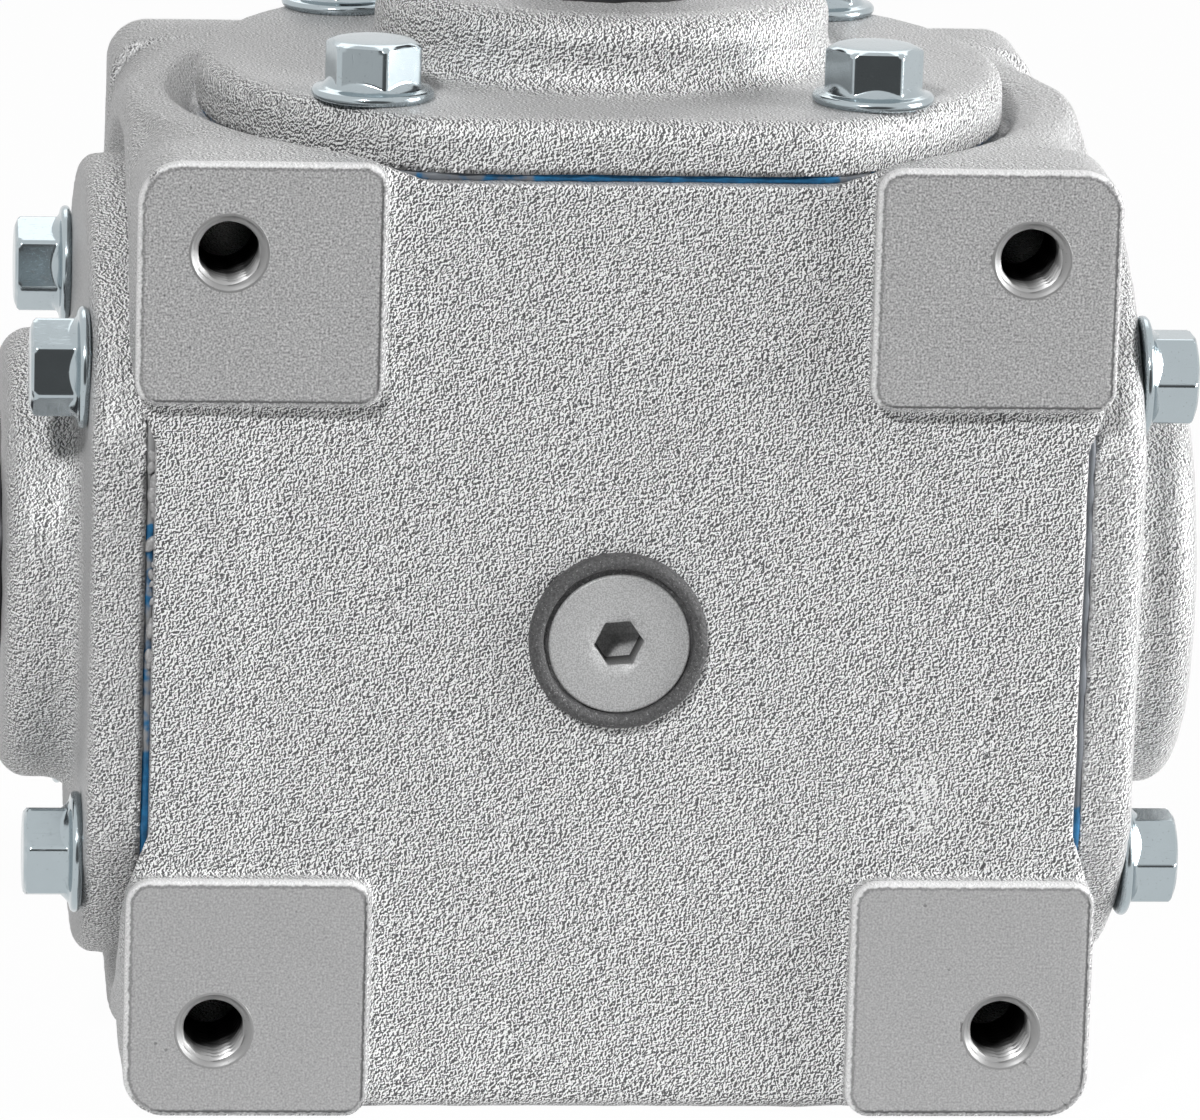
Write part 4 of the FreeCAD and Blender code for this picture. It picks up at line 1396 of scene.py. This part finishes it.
@dataclass
class OilPlug:
    """The socket plug and the ring round it, on the front face."""

    face: float = HousingCasting.face
    head_r: float = 9.8
    head_low: float = 0.4
    body_r: float = 7.9
    length: float = 9.8
    top: float = 0.9
    edge: float = 0.35
    socket: float = 6.0
    socket_turn: float = 5.0
    socket_depth: float = 5.2
    mouth_r: float = 4.5
    ring_out: float = 12.4
    ring_in: float = 10.3
    ring_foot: float = 8.9
    ring_top: float = 1.9
    ring_shift: tuple[float, float] = (-0.16, 0.42)
    steps: int = 180

    def build(self) -> None:
        """Makes both pieces."""
        turn = rotation(90.0, "X")
        at = (0.0, -self.face, 0.0)
        dress(self.plug().turned(turn, at).piece("oil_plug_head"), PLUG, "case", ["oil_plug"])
        aside = (self.ring_shift[0], -self.face, self.ring_shift[1])
        dress(self.ring().turned(turn, aside).piece("oil_plug_seal"), RING, "case", ["oil_plug_ring"])

    def plug(self) -> Shell:
        """Sweeps the plug with its hexagon socket.

        Returns:
            The closed plug.
        """
        inside = hexagon(self.socket, full_turn(self.steps), self.socket_turn, 0.99)
        rings: Rings = [(0.0, -self.length), (self.body_r, -self.length)]
        rings += [(r, self.head_low) for r in (self.body_r, self.head_r)]
        rings += arc(self.edge, (self.head_r - self.edge, self.top - self.edge), 0.0, 90.0, 6)
        rings += [(r, self.top) for r in (8.0, 6.0, self.mouth_r + 0.3)]
        rings.append((self.mouth_r, self.top - 0.05))
        for step, drop in ((0.5, 0.2), (1.0, 0.45)):
            rings.append((np.maximum(inside, self.mouth_r - step), self.top - drop))
        rings += [(inside + 0.02, self.top - 0.7), (inside, self.top - 1.0)]
        floor = self.top - self.socket_depth
        for share, drop in ((1.0, 0.0), (0.97, 0.05), (0.6, 0.5), (0.25, 1.0), (0.0, 1.3)):
            rings.append((inside * share, floor - drop))
        plug = lathe(rings, self.steps)
        # Painted shade in the socket: darker with depth, lighter again on its floor
        inner = np.hypot(plug.points[:, 0], plug.points[:, 1]) < self.mouth_r
        depth = self.top - plug.points[:, 2]
        shade = np.where(depth > self.socket_depth + 0.02, 0.2, np.clip((depth - 0.6) / 1.2, 0.0, 0.97))
        plug.marks["deep"] = np.where(inner, shade, 0.0)
        return plug

    def ring(self) -> Shell:
        """Sweeps the sealing ring.

        Returns:
            The closed ring.
        """
        wave = 0.05 * ripples(on_circle(full_turn(self.steps), 11.0), 5.0, 21)
        half = (self.ring_out - self.ring_in) / 2.0
        bow = arc(half, (self.ring_in + half, self.ring_top - half), 0.0, 180.0, 15)
        rings: Rings = [(self.ring_out, -0.1)]
        rings += [(r + wave, z) for r, z in bow]
        rings += [(self.ring_in, 0.35), (self.ring_foot, 0.35), (self.ring_foot, 0.0)]
        return lathe(rings, self.steps, loop=True)


@dataclass
class Drive:
    """The shafts, gears, bearings, seals and rings, which keep their own meshes."""

    finishes: tuple[Finish, ...] = (SEAL, SHAFT, GEAR, BEARING, CAGE, SPRING)

    def build(self) -> None:
        """Gives every carried node the finish of its slot."""
        by_slot = {finish.slot.value: finish for finish in self.finishes}
        for row in frame["record"]["subparts"]:
            finish = by_slot.get(row["material_slot"])
            if finish is None:
                continue
            node = frame["nodes"][row["node"]]
            if row["node"] == "input_shaft":
                finish = SHAFT_UP
            if node.data.materials:
                node.material_slots[0].material = finish.material()
            else:
                node.data.materials.append(finish.material())
            LOG.info("%s keeps its mesh, in %s", row["node"], finish.name)


# Stage


@dataclass(frozen=True)
class Lamp:
    """A soft rectangular lamp aimed at the box.

    Attributes:
        name: Name of the lamp.
        place: Where it stands, in metres.
        size: Width and height in metres.
        power: Watts.
        aim: Point it faces.
    """

    name: str
    place: Point
    size: tuple[float, float]
    power: float
    aim: Point = (0.0, 0.0, 0.07)

    def build(self) -> None:
        """Adds the lamp."""
        data = bpy.data.lights.new(self.name, "AREA")
        data.shape = "RECTANGLE"
        data.size, data.size_y = self.size
        data.energy = self.power
        made = put(self.name, data)
        made.location = self.place
        made.rotation_euler = (Vector(self.aim) - Vector(self.place)).to_track_quat("-Z", "Y").to_euler()


@dataclass
class Studio:
    """Floor, lamps and camera, in metres and degrees.

    Attributes:
        lamps: The lamps.
        white: Colour of the background.
        ambient: Strength of the world's own light.
        room: How bright reflections show the room behind the camera.
        room_cone: Directions along Y between which the room gives way to white.
        floor_edges: Left, front, right and back edge of the floor.
        floor_share: How far the floor is white to the camera and in reflections.
        camera_at: Where the camera stands.
        camera_aim: Point it faces.
        camera_roll: Its turn about the line of sight.
        camera_view: Width of its view.
    """

    lamps: tuple[Lamp, ...] = (
        Lamp("key", (-0.4, -0.92, 0.83), (0.12, 0.12), 9.3),
        Lamp("right", (1.03, -0.2, 0.3), (0.4, 0.8), 15.5),
        Lamp("back", (0.0, 0.7, 0.8), (0.9, 0.5), 1.7),
    )
    ambient: float = 0.01
    white: tuple[float, float, float, float] = (1.0, 1.0, 1.0, 1.0)
    room: float = 0.12
    room_cone: tuple[float, float] = (-0.92, -0.75)
    floor_edges: tuple[float, float, float, float] = (-4, -0.32, 4, 6)
    floor_share: float = 0.975
    camera_at: Point = (-0.1261, -1.2856, 0.3806)
    camera_aim: Point = (0.00212, 0.0, 0.0668)
    camera_roll: float = 1.72
    camera_view: float = 7.403

    def build(self) -> None:
        """Sets up everything that isn't part of the object."""
        for lamp in self.lamps:
            lamp.build()
        self.world()
        self.floor()
        self.camera()
        bpy.context.scene.view_settings.view_transform = "Standard"

    def world(self) -> None:
        """White to the camera and nearly dark to the rest.

        Reflections see it white too, apart from a dim room behind the camera.
        """
        world = bpy.data.worlds.new("studio")
        bpy.context.scene.world = world
        graph = Graph.fresh(world)
        ahead = graph.split(graph.get("ShaderNodeTexCoord", out="Generated"))[1]
        direct = graph.get("ShaderNodeLightPath", out="Is Camera Ray")
        level = ahead.span(*self.room_cone, self.room, 1.0).most(direct)
        soft, white = (
            graph.get("ShaderNodeBackground", {"Color": self.white, "Strength": strength})
            for strength in (self.ambient, level)
        )
        both = graph.get("ShaderNodeMixShader", {0: graph.seen(), 1: soft, 2: white})
        graph.add("ShaderNodeOutputWorld", {"Surface": both})

    def floor(self) -> None:
        """A pale floor that keeps a faint shadow."""
        mesh = bpy.data.meshes.new("floor")
        left, front, right, back = self.floor_edges
        corners = [(left, front, 0), (right, front, 0), (right, back, 0), (left, back, 0)]
        mesh.from_pydata(corners, [], [(0, 1, 2, 3)])
        floor = put("floor", mesh)
        made = bpy.data.materials.new("floor")
        graph = Graph.fresh(made)
        matt = graph.get("ShaderNodeBsdfDiffuse", {"Color": rgba((0.9, 0.9, 0.9))})
        glow = graph.get("ShaderNodeEmission", {"Color": self.white, "Strength": 1.0})
        both = graph.get("ShaderNodeMixShader", {0: graph.seen() * self.floor_share, 1: matt, 2: glow})
        graph.add("ShaderNodeOutputMaterial", {"Surface": both})
        mesh.materials.append(made)

    def camera(self) -> None:
        """The camera at the photograph's angle."""
        data = bpy.data.cameras.new("camera")
        data.sensor_fit = "HORIZONTAL"
        data.angle = math.radians(self.camera_view)
        data.clip_end = 20.0
        ahead = (Vector(self.camera_aim) - Vector(self.camera_at)).normalized()
        right = ahead.cross(Vector((0.0, 0.0, 1.0))).normalized()
        up = right.cross(ahead)
        roll = math.radians(self.camera_roll)
        across = right * math.cos(roll) + up * math.sin(roll)
        above = up * math.cos(roll) - right * math.sin(roll)
        turn = Matrix((across, above, -ahead)).transposed().to_4x4()
        camera = put("camera", data)
        camera.matrix_world = Matrix.Translation(self.camera_at) @ turn
        bpy.context.scene.camera = camera


def main() -> None:
    """Builds the pieces in order."""
    logging.basicConfig(level=logging.INFO, format="%(name)s: %(message)s")
    Housing().build()
    casting = CoverCasting().shell()
    left_paint = (
        (-180.0, 0.2), (-31.0, 0.1), (-21.0, 0.15), (-18.0, 0.5),
        (0.0, 0.55), (15.0, 0.45), (17.3, 0.2), (18.7, 0.85),
    )
    left_lumps = (
        (13.2, 0.85), (10.3, 0.35), (8.9, 0.7), (7.6, 0.5), (5.1, 0.4),
        (2.3, 0.5), (1.0, 0.95), (-2.7, 0.8), (-3.9, 0.6), (17.2, 0.5),
        (18.3, 0.8), (20.2, 0.9), (22.1, 0.85), (24.0, 0.8), (25.6, 0.6),
    )
    right_paint = ((-180.0, 0.3), (-60.0, 0.9), (24.0, 1.0), (27.0, 0.0), (40.0, 0.0))
    top_paint = (
        (-180.0, 0.4), (-31.0, 0.6), (-28.0, 0.55), (-16.0, 0.5),
        (-12.0, 0.1), (28.0, 0.1), (31.0, 0.6), (180.0, 0.4),
    )
    CoverSet(Side.LEFT, (8.0, 21.0, -13.0, 5.5), left_paint, 0.55, 0.5, left_lumps).build(casting)
    CoverSet(Side.RIGHT, (24.0, 9.0, 30.0, 30.0), right_paint, -0.2, 0.45).build(casting)
    CoverSet(Side.TOP, (14.0, 22.0, -19.0, -2.0), top_paint, 0.5).build(casting)
    OilPlug().build()
    Drive().build()
    Studio().build()


if __name__ == "__main__":
    main()
